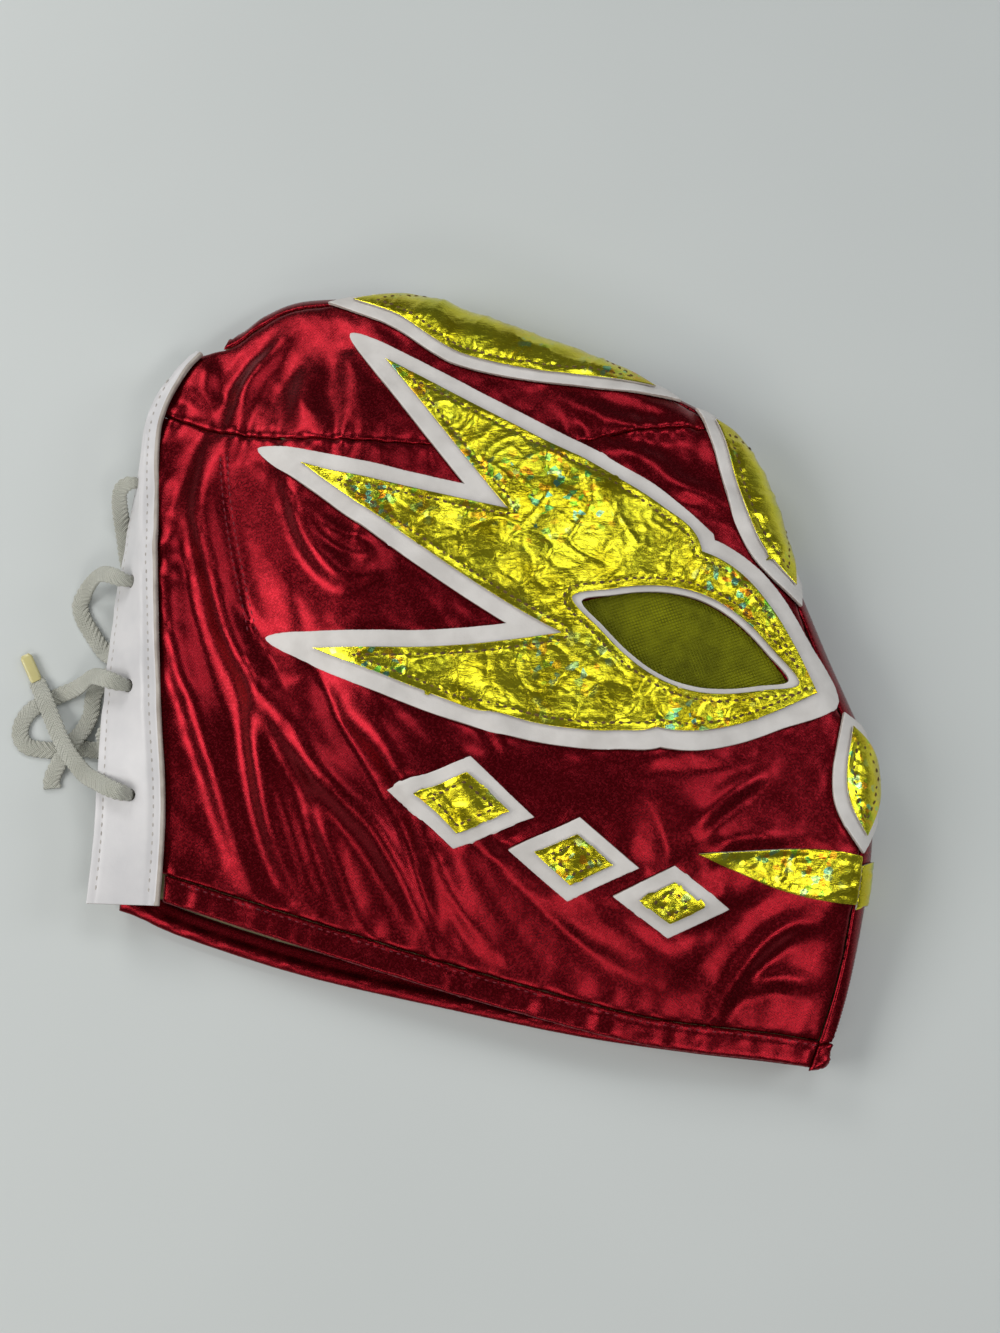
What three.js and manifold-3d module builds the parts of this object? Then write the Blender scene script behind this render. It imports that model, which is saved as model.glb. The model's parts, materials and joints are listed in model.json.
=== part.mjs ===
// A luchador mask, folded flat on its midline and lying on its left side.
// Millimetres, +Z up. The nose points to +X and the crown to +Y. The right side of the mask is uppermost.
import * as THREE from 'three';
import { mergeVertices } from 'three/addons/utils/BufferGeometryUtils.js';
import Module from 'manifold-3d';

const wasm = await Module();
wasm.setup();

// Driving dimensions of the folded mask
const maskLength = 276;        // back opening to nose
const maskHeight = 300;        // chin to crown
const loftHeight = 44;         // top of the upper side above the table
const foldHeight = 15;         // height of the fold that runs over crown and face
const foldRadius = 18;         // width over which the upper side rounds over
const underRadius = 12;        // width over which the lower side rounds under
const gap = 0.3;               // between pieces that touch

// Driving dimensions of the pieces
const wall = 1.6;              // metallic cloth with its lining
const hemDepth = 9.5;
const hemThickness = 2.8;
const hemProud = 0.6;          // how far the hem stands out of the cloth
const borderWidth = 6.5;       // white edging that shows round the gold
const borderThickness = 1.4;
const foilThickness = 0.9;
const smallBorderWidth = 4.8;  // the same round the small patches
const eyeRimWidth = 1.6;       // white that shows inside the gold at the eye
const eyeRimSeat = 0.4;        // how far the white reaches past the cloth into the eye
const netThickness = 1;
const netOverlap = 5;
const facingWidth = 27;
const facingThickness = 1.4;
const facingLap = 6;           // part of the facing that lies on the cloth
const facingSeat = 0.85;       // its seam allowance between them
const facingInset = 1.5;       // the lower facing ends this much short of the upper one
const facingRise = 0.5;        // slope of the lower facing's free edge
const facingTop = 0.93;        // share of the back opening that the upper facing runs along
const eyeletRadius = 2.4;
const eyeletPitch = 41;
const eyeletFirst = 41;        // from the neck end of the facing
const eyeletCount = 5;
const eyeletDrillLength = 9.6; // passes through a facing however it leans
const slopeStep = 1;           // way over which the facing's slope is measured, and the share along it
const slopeShare = 0.01;
const lowerFacingStart = 0.08; // share of the back opening where the lower facing starts
const lowerFacingEnd = 0.8;
const lowerFacingMargin = 0.05; // share kept between the last eyelet and the lower facing's end
const lowerFacingHole = 0.62;  // place of the eyelets across the lower facing
const cornerSlip = 13;         // the lower side's back corner shows this far out
const cornerLength = 26;
const laceDiameter = 2.6;
const agletDiameter = 3.4;

// Fineness of the faceted surfaces
const raySteps = 26;
const upperSteps = 11;
const foldSteps = 3;
const underFoldSteps = 2;
const underSteps = 2;
const facingSteps = 19;
const lowerFacingSteps = 12;
const lineSteps = 32;

const farAway = 500;           // past every edge of the mask
const restHeight = gap + borderThickness + gap + foilThickness;
const partingHeight = 0.95 * foldHeight;   // passes under the upper side and over the lower one

// A point of the plan, in shares of the mask's length from the back and of its height from the chin
const plan = ({ across, up }) => new THREE.Vector2(across * maskLength, up * maskHeight);
const planLine = (rows, steps) => new THREE.SplineCurve(rows.map(plan)).getPoints(steps);

// The fold over crown and face, from past the back opening, over the crown, to past the chin
const foldRows = [
  { across: -0.17, up: 0.76 }, { across: -0.07, up: 0.87 }, { across: 0.04, up: 0.925 },
  { across: 0.115, up: 0.953 }, { across: 0.155, up: 0.981 }, { across: 0.215, up: 1.0 },
  { across: 0.33, up: 0.999 }, { across: 0.39, up: 0.992 }, { across: 0.465, up: 0.966 },
  { across: 0.61, up: 0.915 }, { across: 0.76, up: 0.852 }, { across: 0.815, up: 0.813 },
  { across: 0.85, up: 0.767 }, { across: 0.878, up: 0.702 }, { across: 0.898, up: 0.636 },
  { across: 0.943, up: 0.517 }, { across: 0.97, up: 0.452 }, { across: 0.995, up: 0.388 },
  { across: 1.0, up: 0.33 }, { across: 0.992, up: 0.25 }, { across: 0.977, up: 0.177 },
  { across: 0.956, up: 0.1 }, { across: 0.936, up: 0.045 }, { across: 0.916, up: 0.0 },
  { across: 0.89, up: -0.06 }, { across: 0.86, up: -0.14 },
];
const backEnd = plan(foldRows[3]);
const chinEnd = plan(foldRows[23]);

// How far the centre seam lies inside the fold on the upper side, in shares of the fold's radius
const seamInsetRows = [
  { along: -0.1, inset: 0.26 }, { along: 0, inset: 0.27 }, { along: 0.12, inset: 0.34 },
  { along: 0.22, inset: 0.5 }, { along: 0.4, inset: 0.26 }, { along: 0.6, inset: 0.3 },
  { along: 0.74, inset: 0.42 }, { along: 0.9, inset: 0.28 }, { along: 1.1, inset: 0.26 },
];

// Where the cloth's surface starts on each ray, a little outside the back opening and the hem
const startRows = [
  { along: -0.07, reach: 0.86 }, { along: -0.01, reach: 0.78 }, { along: 0.11, reach: 0.6 },
  { along: 0.23, reach: 0.48 }, { along: 0.33, reach: 0.38 }, { along: 0.5, reach: 0.46 },
  { along: 0.72, reach: 0.54 }, { along: 0.86, reach: 0.71 }, { along: 0.94, reach: 0.88 },
  { along: 1.03, reach: 1.05 },
];

// Seam between crown panel and side panel, back to front
const crownSeamRows = [
  { across: -0.25, up: 0.9 }, { across: 0.02, up: 0.825 }, { across: 0.125, up: 0.79 },
  { across: 0.26, up: 0.772 }, { across: 0.467, up: 0.763 }, { across: 0.58, up: 0.772 },
  { across: 0.7, up: 0.793 }, { across: 0.83, up: 0.803 }, { across: 1.1, up: 0.815 },
];

// Lower edge of each side, back to front
const upperHemRows = [
  { across: -0.2, up: 0.27 }, { across: 0.044, up: 0.199 }, { across: 0.174, up: 0.161 },
  { across: 0.342, up: 0.113 }, { across: 0.495, up: 0.072 }, { across: 0.68, up: 0.029 },
  { across: 0.847, up: 0.01 }, { across: 0.916, up: 0.0 }, { across: 1.1, up: -0.02 },
];
const lowerHemRows = [
  { across: -0.2, up: 0.235 }, { across: -0.02, up: 0.19 }, { across: 0.058, up: 0.16 },
  { across: 0.228, up: 0.111 }, { across: 0.422, up: 0.071 }, { across: 0.598, up: 0.038 },
  { across: 0.74, up: 0.019 }, { across: 0.847, up: 0.008 }, { across: 0.916, up: 0.0 },
  { across: 1.1, up: -0.02 },
];

// Inner edge of the upper facing, from the neck to the top of the back opening
const facingRows = [
  { across: 0.044, up: 0.193 }, { across: 0.048, up: 0.319 }, { across: 0.039, up: 0.442 },
  { across: 0.03, up: 0.57 }, { across: 0.02, up: 0.703 }, { across: 0.016, up: 0.787 },
  { across: 0.021, up: 0.828 }, { across: 0.035, up: 0.863 }, { across: 0.062, up: 0.905 },
  { across: 0.112, up: 0.95 },
];
// Its lean away from the table's plane, in quarter turns, and its width
const facingSections = [
  { along: 0, lean: 0.04, width: 1 }, { along: 0.17, lean: 0.14, width: 1 },
  { along: 0.33, lean: 0.38, width: 1 }, { along: 0.49, lean: 0.55, width: 1 },
  { along: 0.66, lean: 0.75, width: 1 }, { along: 0.77, lean: 0.88, width: 0.96 },
  { along: 0.84, lean: 0.95, width: 0.8 }, { along: 0.92, lean: 1, width: 0.5 },
  { along: 1, lean: 1, width: 0.3 },
];

// Share of the full rise that the upper side keeps at an edge, and the share of the height in which it
// grows to all of it
const loft = {
  fold: { edge: 0.55, width: 0.32 },
  hem: { back: 0.24, front: 0.12, width: 0.28 },
  back: { edge: 0.45, width: 0.276 },
};

// Folds in the upper side: a ridge line, its crest in shares of the loft, its spread in shares of the height
const foldRidges = [
  { from: [0.05, 0.6], via: [0.07, 0.46], to: [0.13, 0.27], crest: 0.08, spread: 0.022 },
  { from: [0.1, 0.68], via: [0.13, 0.52], to: [0.21, 0.28], crest: 0.09, spread: 0.024 },
  { from: [0.18, 0.56], via: [0.24, 0.46], to: [0.36, 0.2], crest: 0.11, spread: 0.026 },
  { from: [0.29, 0.48], via: [0.36, 0.38], to: [0.44, 0.19], crest: 0.1, spread: 0.024 },
  { from: [0.36, 0.45], via: [0.42, 0.34], to: [0.51, 0.2], crest: 0.09, spread: 0.022 },
  { from: [0.45, 0.42], via: [0.5, 0.34], to: [0.57, 0.24], crest: 0.06, spread: 0.02 },
  { from: [0.08, 0.8], via: [0.1, 0.62], to: [0.13, 0.5], crest: 0.07, spread: 0.02 },
  { from: [0.25, 0.74], via: [0.28, 0.6], to: [0.4, 0.6], crest: 0.07, spread: 0.022 },
  { from: [0.21, 0.94], via: [0.16, 0.89], to: [0.13, 0.82], crest: 0.07, spread: 0.02 },
  { from: [0.27, 0.95], via: [0.24, 0.9], to: [0.22, 0.83], crest: 0.06, spread: 0.018 },
  { from: [0.75, 0.36], via: [0.85, 0.34], to: [0.95, 0.36], crest: 0.06, spread: 0.016 },
  { from: [0.7, 0.14], via: [0.8, 0.18], to: [0.93, 0.16], crest: 0.07, spread: 0.022 },
];

// Eye opening and gold design, each leaf with its belly's place from 0 at its root to 1 at its tip
const eyeLeaf = { from: [0.6, 0.555], via: [0.745, 0.51], to: [0.882, 0.462], half: 0.057, belly: 0.5 };
const flameLeaves = [
  { from: [0.54, 0.575], via: [0.74, 0.51], to: [0.915, 0.447], half: 0.118, belly: 0.5 },
  { from: [0.77, 0.545], via: [0.55, 0.7], to: [0.335, 0.885], half: 0.075, belly: 0.22 },
  { from: [0.74, 0.53], via: [0.5, 0.61], to: [0.225, 0.735], half: 0.07, belly: 0.22 },
  { from: [0.76, 0.47], via: [0.52, 0.43], to: [0.25, 0.5], half: 0.064, belly: 0.22 },
];
const mouthLeaf = { from: [1.06, 0.215], via: [0.9, 0.225], to: [0.75, 0.25], half: 0.03, belly: 0.4 };
const jawLozenges = [
  { centre: [0.445, 0.31], long: 0.125, short: 0.076, turn: -0.2 },
  { centre: [0.59, 0.245], long: 0.102, short: 0.063, turn: -0.15 },
  { centre: [0.715, 0.195], long: 0.083, short: 0.05, turn: -0.1 },
];
const leafSteps = 8;

// The lace from below the first eyelet, through the others, to its bare end on the table
const laceRoute = [
  [0, 98.4, 20.8], [0.8, 98.5, 17], [0.5, 98.6, 12], [-1.5, 98.6, 8.8], [-2.3, 98.7, 5.6],
  [-2.3, 100.4, 2.7], [-2.1, 105, 1.5], [-1.8, 120, 1.4], [-2, 132.5, 1.4], [-2.9, 139.2, 1.7],
  [-3, 139.9, 5.8], [-2.6, 139.5, 10.5], [0.4, 139.4, 15.8], [1.5, 139.1, 19.6], [-1.8, 139, 24.4],
  [-4.6, 139.2, 28], [-8.5, 140.3, 29.4], [-12.8, 142, 26.8], [-16.8, 143.6, 21], [-20.5, 144, 14.5],
  [-24.5, 143.5, 8], [-29.5, 142.2, 3.2], [-35, 140.3, 1.5], [-41, 137.6, 1.4], [-46, 134.2, 1.4],
  [-49, 129.3, 1.4], [-49.2, 123.8, 1.4], [-46.3, 120.2, 1.4], [-41, 119, 1.4], [-35, 118.6, 1.4],
  [-29.4, 118.8, 1.4], [-24, 119.2, 1.4], [-19.2, 118.6, 1.8], [-15.8, 120, 6], [-14.6, 122.3, 10.6],
  [-11.8, 125.4, 13.8], [-8.3, 132, 13.6], [-8, 140, 13.4], [-7, 151, 13], [-4, 163, 13.2],
  [0, 171.5, 14.3], [2.4, 177, 16.9], [1.5, 179.7, 20], [-2.9, 179.9, 23.4], [-6.8, 180.2, 25.9],
  [-11, 181.8, 26], [-15.4, 183.6, 22], [-19.5, 184.3, 15.5], [-23.8, 183.5, 8.5], [-27.5, 181, 3],
  [-29.4, 176.8, 1.5], [-28, 171.5, 1.4], [-25.2, 166.8, 1.4], [-22, 162, 1.4], [-18.8, 157.8, 1.6],
  [-15.8, 155.6, 4.6], [-13.6, 156, 9.1], [-11, 157.6, 12.9], [-5, 163, 10], [1, 172, 9],
  [5, 184, 9], [6, 198, 10], [6.2, 210, 12], [5.6, 217, 14.6], [3, 220.8, 17.2], [-3.4, 221.1, 19.4],
  [-7.8, 220.9, 20.3], [-11.3, 219.3, 18.3], [-13.2, 216.5, 13.5], [-14, 213, 8], [-14, 208.8, 3.6],
  [-13.3, 203.6, 1.6], [-12, 196, 1.4], [-9.6, 187, 1.4], [-8.2, 177, 1.4], [-8.2, 167, 1.4],
  [-10, 157.5, 1.4], [-14.4, 150.3, 1.4], [-19.2, 145.6, 1.4], [-21.9, 140, 1.4], [-22.4, 133, 1.4],
  [-24.8, 126.6, 2.4], [-27.3, 122.4, 4.1], [-29.8, 118.2, 4.4], [-32.4, 114.6, 3.6],
  [-34.6, 111.1, 1.8], [-35.9, 107.5, 1.4], [-35.6, 103.8, 1.4],
];
// Its other end, from the first eyelet, over the rest, to the aglet
const tailRoute = [
  [-0.1, 98.4, 21.5], [-1, 98.4, 25.2], [-3.6, 99, 27.5], [-7.6, 100.6, 26.4], [-12, 103, 22.8],
  [-17, 105.6, 18.5], [-21, 108.5, 13.5], [-25, 112.5, 9.8], [-29, 117.5, 8.2], [-33, 124, 6.6],
  [-36.5, 131, 5.6], [-39.8, 138, 4.5], [-42.6, 142.7, 2.6], [-44.4, 146.1, 1.9],
];
const agletRoute = [[-44.55, 146.4, 1.85], [-49.5, 156.3, 1.8]];
const laceSteps = 64;
const tailSteps = 10;

// Patches across the centre seam, along it from the back opening at 0 to the chin at 1
const seamPatches = [
  { name: 'crest', from: 0.1, to: 0.375, half: 0.048 },
  { name: 'brow_kite', from: 0.43, to: 0.585, half: 0.034 },
  { name: 'nose_kite', from: 0.715, to: 0.805, half: 0.026 },
];

// The fold is kept in polar form round a point behind and below the mask
const pole = plan({ across: -0.31, up: -0.1 });
const polar = (point) => {
  const arm = point.clone().sub(pole);
  return { turn: Math.atan2(arm.y, arm.x), reach: arm.length() };
};
const origin = new THREE.Vector2();
const fromPole = (turn, reach) => new THREE.Vector2(reach, 0).rotateAround(origin, turn).add(pole);
const foldPolar = planLine(foldRows, 240).map(polar).reverse();
const backTurn = polar(backEnd).turn;
const chinTurn = polar(chinEnd).turn;
const turnAt = (along) => THREE.MathUtils.lerp(backTurn, chinTurn, along);
const alongAt = (turn) => (backTurn - turn) / (backTurn - chinTurn);
const firstTurn = turnAt(startRows[startRows.length - 1].along);
const lastTurn = turnAt(startRows[0].along);

// Value of one column of a table, read between its rows
function readTable(rows, key, column, value) {
  const last = rows.length - 1;
  const limited = THREE.MathUtils.clamp(value, rows[0][key], rows[last][key]);
  let index = 1;
  while (index < last && rows[index][key] < limited) index += 1;
  const before = rows[index - 1];
  const after = rows[index];
  const share = (limited - before[key]) / (after[key] - before[key]);
  return THREE.MathUtils.lerp(before[column], after[column], share);
}

const foldReach = (turn) => readTable(foldPolar, 'turn', 'reach', turn);

// Cosine between the ray from the pole and the fold's own square direction
function foldSlant(turn) {
  const step = 0.02;
  const rate = (foldReach(turn + step) - foldReach(turn - step)) / (2 * step);
  return 1 / Math.hypot(1, rate / foldReach(turn));
}

const seamInset = (turn) => {
  const inset = readTable(seamInsetRows, 'along', 'inset', alongAt(turn));
  return foldRadius * inset / foldSlant(turn);
};
const seamPoint = (turn, out) => fromPole(turn, foldReach(turn) - seamInset(turn) + out);

const pair = ([across, up]) => plan({ across, up });
const bend = ({ from, via, to }) => new THREE.QuadraticBezierCurve(pair(from), pair(via), pair(to));

// Shortest way from a point to a line of points, with the share of the line passed there
function nearestOnLine(point, line) {
  let best = { distance: Infinity, along: 0 };
  for (let index = 1; index < line.length; index += 1) {
    const side = line[index].clone().sub(line[index - 1]);
    const reach = point.clone().sub(line[index - 1]);
    const share = THREE.MathUtils.clamp(reach.dot(side) / side.lengthSq(), 0, 1);
    const distance = reach.addScaledVector(side, -share).length();
    const along = (index - 1 + share) / (line.length - 1);
    if (distance < best.distance) best = { distance, along };
  }
  return best;
}

const backLine = planLine(facingRows, lineSteps);
const upperHemLine = planLine(upperHemRows, lineSteps);
const lowerHemLine = planLine(lowerHemRows, lineSteps);
const ridges = foldRidges.map((row) => ({ ...row, line: bend(row).getPoints(8) }));

function ridgeHeight(point) {
  let height = 0;
  for (const { line, crest, spread } of ridges) {
    const { distance, along } = nearestOnLine(point, line);
    const width = distance / (spread * maskHeight);
    height += crest * loftHeight * Math.exp(-width * width) * Math.sin(Math.PI * (0.1 + 0.8 * along));
  }
  return height;
}

// Height of the upper side above the fold where its rounding is complete: it swells away from its edges
function swell(point, depth) {
  const ease = (value, width) => THREE.MathUtils.smoothstep(value, 0, width);
  const mix = THREE.MathUtils.lerp;
  const grow = ({ edge, width }, distance) => mix(edge, 1, ease(distance, width * maskHeight));
  const front = THREE.MathUtils.clamp(point.x / maskLength, 0, 1);
  const hem = { edge: mix(loft.hem.back, loft.hem.front, front), width: loft.hem.width };
  const share = grow(loft.fold, depth)
    * grow(hem, nearestOnLine(point, upperHemLine).distance)
    * grow(loft.back, nearestOnLine(point, backLine).distance);
  return (loftHeight - foldHeight) * share + ridgeHeight(point) * ease(depth, foldRadius);
}

// Height of the upper side over any point of the plan
function upperHeight(point) {
  const { turn, reach } = polar(point);
  const depth = Math.max(0, foldReach(turn) - reach) * foldSlant(turn);
  const share = Math.min(1, depth / foldRadius);
  return foldHeight + swell(point, depth) * Math.sqrt(1 - (1 - share) ** 2);
}

// The whole cloth as one grid of points, from the upper side's edges over the fold to the lower side's
function hoodGrid() {
  const grid = [];
  for (let ray = 0; ray <= raySteps; ray += 1) {
    const turn = THREE.MathUtils.lerp(firstTurn, lastTurn, ray / raySteps);
    const slant = foldSlant(turn);
    const reach = foldReach(turn);
    const length = reach - maskLength * readTable(startRows, 'along', 'reach', alongAt(turn));
    const row = [];
    const place = (inward, height) => {
      const spot = fromPole(turn, reach - inward);
      row.push(new THREE.Vector3(spot.x, spot.y, height(spot)));
    };
    for (let step = 0; step < upperSteps; step += 1) {
      const inward = THREE.MathUtils.lerp(length, foldRadius / slant, step / upperSteps);
      place(inward, (spot) => foldHeight + swell(spot, inward * slant));
    }
    for (let step = 0; step < foldSteps; step += 1) {
      const angle = (1 - step / foldSteps) * Math.PI / 2;
      const inward = foldRadius * (1 - Math.cos(angle)) / slant;
      place(inward, (spot) => foldHeight + swell(spot, inward * slant) * Math.sin(angle));
    }
    for (let step = 0; step < underFoldSteps; step += 1) {
      const angle = step / underFoldSteps * Math.PI / 2;
      const inward = underRadius * (1 - Math.cos(angle)) / slant;
      place(inward, () => foldHeight - (foldHeight - restHeight) * Math.sin(angle));
    }
    for (let step = 0; step <= underSteps; step += 1) {
      place(THREE.MathUtils.lerp(underRadius / slant, length, step / underSteps), () => restHeight);
    }
    grid.push(row);
  }
  return grid;
}

// A grid's points with their square directions
function withNormals(grid) {
  const last = [grid.length - 1, grid[0].length - 1];
  const pick = (i, j) => grid[THREE.MathUtils.clamp(i, 0, last[0])][THREE.MathUtils.clamp(j, 0, last[1])];
  return grid.map((row, i) => row.map((point, j) => {
    const around = pick(i + 1, j).clone().sub(pick(i - 1, j));
    const outward = pick(i, j + 1).clone().sub(pick(i, j - 1));
    return { point, normal: outward.cross(around).normalize() };
  }));
}

const solidOf = (vertices, triangles) => new wasm.Manifold(new wasm.Mesh({
  numProp: 3,
  vertProperties: new Float32Array(vertices),
  triVerts: new Uint32Array(triangles),
}));

// A sheet of some thickness over a grid, between two offsets from it
function sheetSolid(grid, innerOffset, outerOffset) {
  const rows = grid.length;
  const columns = grid[0].length;
  const vertices = [];
  for (const offset of [outerOffset, innerOffset]) {
    for (const { point, normal } of grid.flat()) {
      vertices.push(...point.clone().addScaledVector(normal, offset).toArray());
    }
  }
  const outer = (i, j) => i * columns + j;
  const inner = (i, j) => (rows + i) * columns + j;
  const triangles = [];
  const quad = (a, b, c, d) => triangles.push(a, b, c, a, c, d);
  for (let i = 0; i < rows - 1; i += 1) {
    for (let j = 0; j < columns - 1; j += 1) {
      quad(outer(i, j), outer(i, j + 1), outer(i + 1, j + 1), outer(i + 1, j));
      quad(inner(i, j), inner(i + 1, j), inner(i + 1, j + 1), inner(i, j + 1));
    }
    quad(outer(i, 0), outer(i + 1, 0), inner(i + 1, 0), inner(i, 0));
    const last = columns - 1;
    quad(outer(i + 1, last), outer(i, last), inner(i, last), inner(i + 1, last));
  }
  for (let j = 0; j < columns - 1; j += 1) {
    quad(outer(0, j + 1), outer(0, j), inner(0, j), inner(0, j + 1));
    quad(outer(rows - 1, j), outer(rows - 1, j + 1), inner(rows - 1, j + 1), inner(rows - 1, j));
  }
  return solidOf(vertices, triangles);
}

// A closed three.js geometry as a solid
function geometrySolid(geometry) {
  geometry.deleteAttribute('normal');
  geometry.deleteAttribute('uv');
  const merged = mergeVertices(geometry, 1e-4);
  return solidOf(merged.attributes.position.array, merged.index.array);
}

// An upright prism on an outline of the plan
function prism(outline, low = -farAway, high = farAway) {
  const settings = { depth: high - low, bevelEnabled: false };
  const geometry = new THREE.ExtrudeGeometry(new THREE.Shape(outline), settings);
  return geometrySolid(geometry.translate(0, 0, low));
}

const joined = (solids) => solids.reduce((sum, solid) => sum.add(solid));
const cutBy = (solid, cutters) => cutters.reduce((rest, cutter) => rest.intersect(cutter), solid);

// A line moved to its left, seen along it
function moveLine(line, distance) {
  return line.map((point, index) => {
    const before = line[Math.max(0, index - 1)];
    const after = line[Math.min(line.length - 1, index + 1)];
    const left = after.clone().sub(before).normalize().rotateAround(origin, Math.PI / 2);
    return point.clone().addScaledVector(left, distance);
  });
}

// A closed outline grown outwards with pointed corners
function growOutline(outline, distance) {
  const turned = THREE.ShapeUtils.area(outline) > 0 ? outline : [...outline].reverse();
  const longest = 3;
  return turned.map((point, index) => {
    const before = turned[(index + turned.length - 1) % turned.length];
    const after = turned[(index + 1) % turned.length];
    const right = (a, b) => b.clone().sub(a).normalize().rotateAround(origin, -Math.PI / 2);
    const first = right(before, point);
    const middle = first.clone().add(right(point, after)).normalize();
    const reach = Math.min(longest, 1 / Math.max(middle.dot(first), 1e-3));
    return point.clone().addScaledVector(middle, distance * reach);
  });
}

// A pointed leaf along a bent spine
function leafOutline(row) {
  const spine = bend(row);
  const power = Math.log(0.5) / Math.log(row.belly);
  const left = [];
  const right = [];
  for (let step = 0; step <= leafSteps; step += 1) {
    const share = step / leafSteps;
    const width = row.half * maskHeight * Math.sin(Math.PI * share ** power);
    const across = spine.getTangent(share).rotateAround(origin, Math.PI / 2);
    const point = spine.getPoint(share);
    left.push(point.clone().addScaledVector(across, width));
    if (step > 0 && step < leafSteps) right.unshift(point.clone().addScaledVector(across, -width));
  }
  return [...left, ...right];
}

function lozengeOutline({ centre, long, short, turn }) {
  const middle = pair(centre);
  const corners = [[long, 0], [0, short], [-long, 0], [0, -short]];
  return corners.map(([x, y]) => new THREE.Vector2(x, y).multiplyScalar(maskLength / 2)
    .rotateAround(origin, turn).add(middle));
}

// A leaf laid along the centre seam
function seamOutline({ from, to, half }, grow) {
  const steps = 8;
  const lengthen = grow / (half * maskHeight) * (to - from) / 4;
  const near = [];
  const far = [];
  for (let step = 0; step <= steps; step += 1) {
    const share = step / steps;
    const turn = turnAt(THREE.MathUtils.lerp(from - lengthen, to + lengthen, share));
    const width = (half * maskHeight + grow) * Math.sin(Math.PI * share);
    near.push(seamPoint(turn, -width));
    if (step > 0 && step < steps) far.unshift(seamPoint(turn, width));
  }
  return [...near, ...far];
}

// Layers of the hood, measured outwards from the cloth's outer face
const hood = withNormals(hoodGrid());
for (const row of hood) {
  for (const { normal } of row.slice(-1 - underSteps)) normal.set(0, 0, -1);
}
const borderInner = gap;
const borderOuter = borderInner + borderThickness;
const foilInner = borderOuter + gap;
const clothLayer = sheetSolid(hood, -wall, 0);
const hemLayer = sheetSolid(hood, hemProud - hemThickness, hemProud);
const borderLayer = sheetSolid(hood, borderInner, borderOuter);
const foilLayer = sheetSolid(hood, foilInner, foilInner + foilThickness);
const trimLayer = sheetSolid(hood, gap, gap + foilThickness);
const netLayer = sheetSolid(hood, -wall - gap - netThickness, -wall - gap);

// The two sides of the mask meet at the centre seam, which lies on the upper side
function insideSeam(out) {
  const steps = 2 * lineSteps;
  const points = [];
  for (let step = 0; step <= steps; step += 1) {
    points.push(seamPoint(THREE.MathUtils.lerp(firstTurn, lastTurn, step / steps), out));
  }
  return prism([pole, ...points], partingHeight);
}
const rightCutter = insideSeam(-gap / 2);
const leftCutter = insideSeam(gap / 2);

// Facing of the back opening
const facingCurve = new THREE.SplineCurve(facingRows.map(plan));
const facingLength = facingCurve.getLength();
function facingFrame(along) {
  const spot = facingCurve.getPointAt(along);
  const out = facingCurve.getTangentAt(along).rotateAround(origin, Math.PI / 2);
  const share = readTable(facingSections, 'along', 'width', along);
  const lean = readTable(facingSections, 'along', 'lean', along) * Math.PI / 2;
  return { spot, out, lean, width: facingWidth * share, lap: facingLap * share };
}

// A point of the upper facing's inner face, some way out from its inner edge
function facingPoint(along, way) {
  const { spot, out, lean, lap } = facingFrame(along);
  const onCloth = Math.min(way, lap);
  const free = way - onCloth;
  const flat = spot.clone().addScaledVector(out, onCloth + free * Math.cos(lean));
  const base = upperHeight(spot.clone().addScaledVector(out, onCloth));
  return new THREE.Vector3(flat.x, flat.y, base + facingSeat - free * Math.sin(lean));
}

function facingGrid() {
  const columns = 3;
  const grid = [];
  for (let step = 0; step <= facingSteps; step += 1) {
    const along = step / facingSteps * facingTop;
    const { width, lap } = facingFrame(along);
    const row = [];
    for (let column = columns; column >= 0; column -= 1) {
      const way = column < 2 ? lap * column : lap + (width - lap) * (column - 1) / (columns - 1);
      row.push(facingPoint(along, way));
    }
    grid.push(row);
  }
  return withNormals(grid);
}

const eyeletPlaces = Array.from({ length: eyeletCount }, (_, index) => (
  (eyeletFirst + index * eyeletPitch) / facingLength));

function eyeletDrill(centre, direction) {
  const geometry = new THREE.CylinderGeometry(eyeletRadius, eyeletRadius, eyeletDrillLength, 8);
  const turn = new THREE.Quaternion().setFromUnitVectors(new THREE.Vector3(0, 1, 0), direction);
  return geometrySolid(geometry.applyQuaternion(turn).translate(centre.x, centre.y, centre.z));
}

function upperFacing() {
  const strip = sheetSolid(facingGrid(), 0, facingThickness);
  const drills = eyeletPlaces.map((along) => {
    const middle = facingFrame(along).width / 2;
    const centre = facingPoint(along, middle);
    const across = facingPoint(along, middle + slopeStep).sub(centre);
    const length = facingPoint(along + slopeShare, middle).sub(facingPoint(along - slopeShare, middle));
    return eyeletDrill(centre, across.cross(length).normalize());
  });
  return strip.subtract(joined(drills));
}

// The lower facing lies under the lower side and rises a little past the cloth's edge
const slipAt = (along, slip) => slip * Math.exp(-((along * facingLength / cornerLength) ** 2));
function lowerFacingReach(along) {
  const { lean, width, lap } = facingFrame(along);
  return lap + (width - lap) * Math.cos(lean) - facingInset;
}
const lowerFacingEdge = (along) => facingFrame(along).lap + slipAt(along, cornerSlip);
function lowerFacingPoint(along, way) {
  const { spot, out } = facingFrame(along);
  const flat = spot.clone().addScaledVector(out, way);
  const free = Math.max(0, way - lowerFacingEdge(along));
  return new THREE.Vector3(flat.x, flat.y, restHeight - gap + free * facingRise);
}

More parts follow.
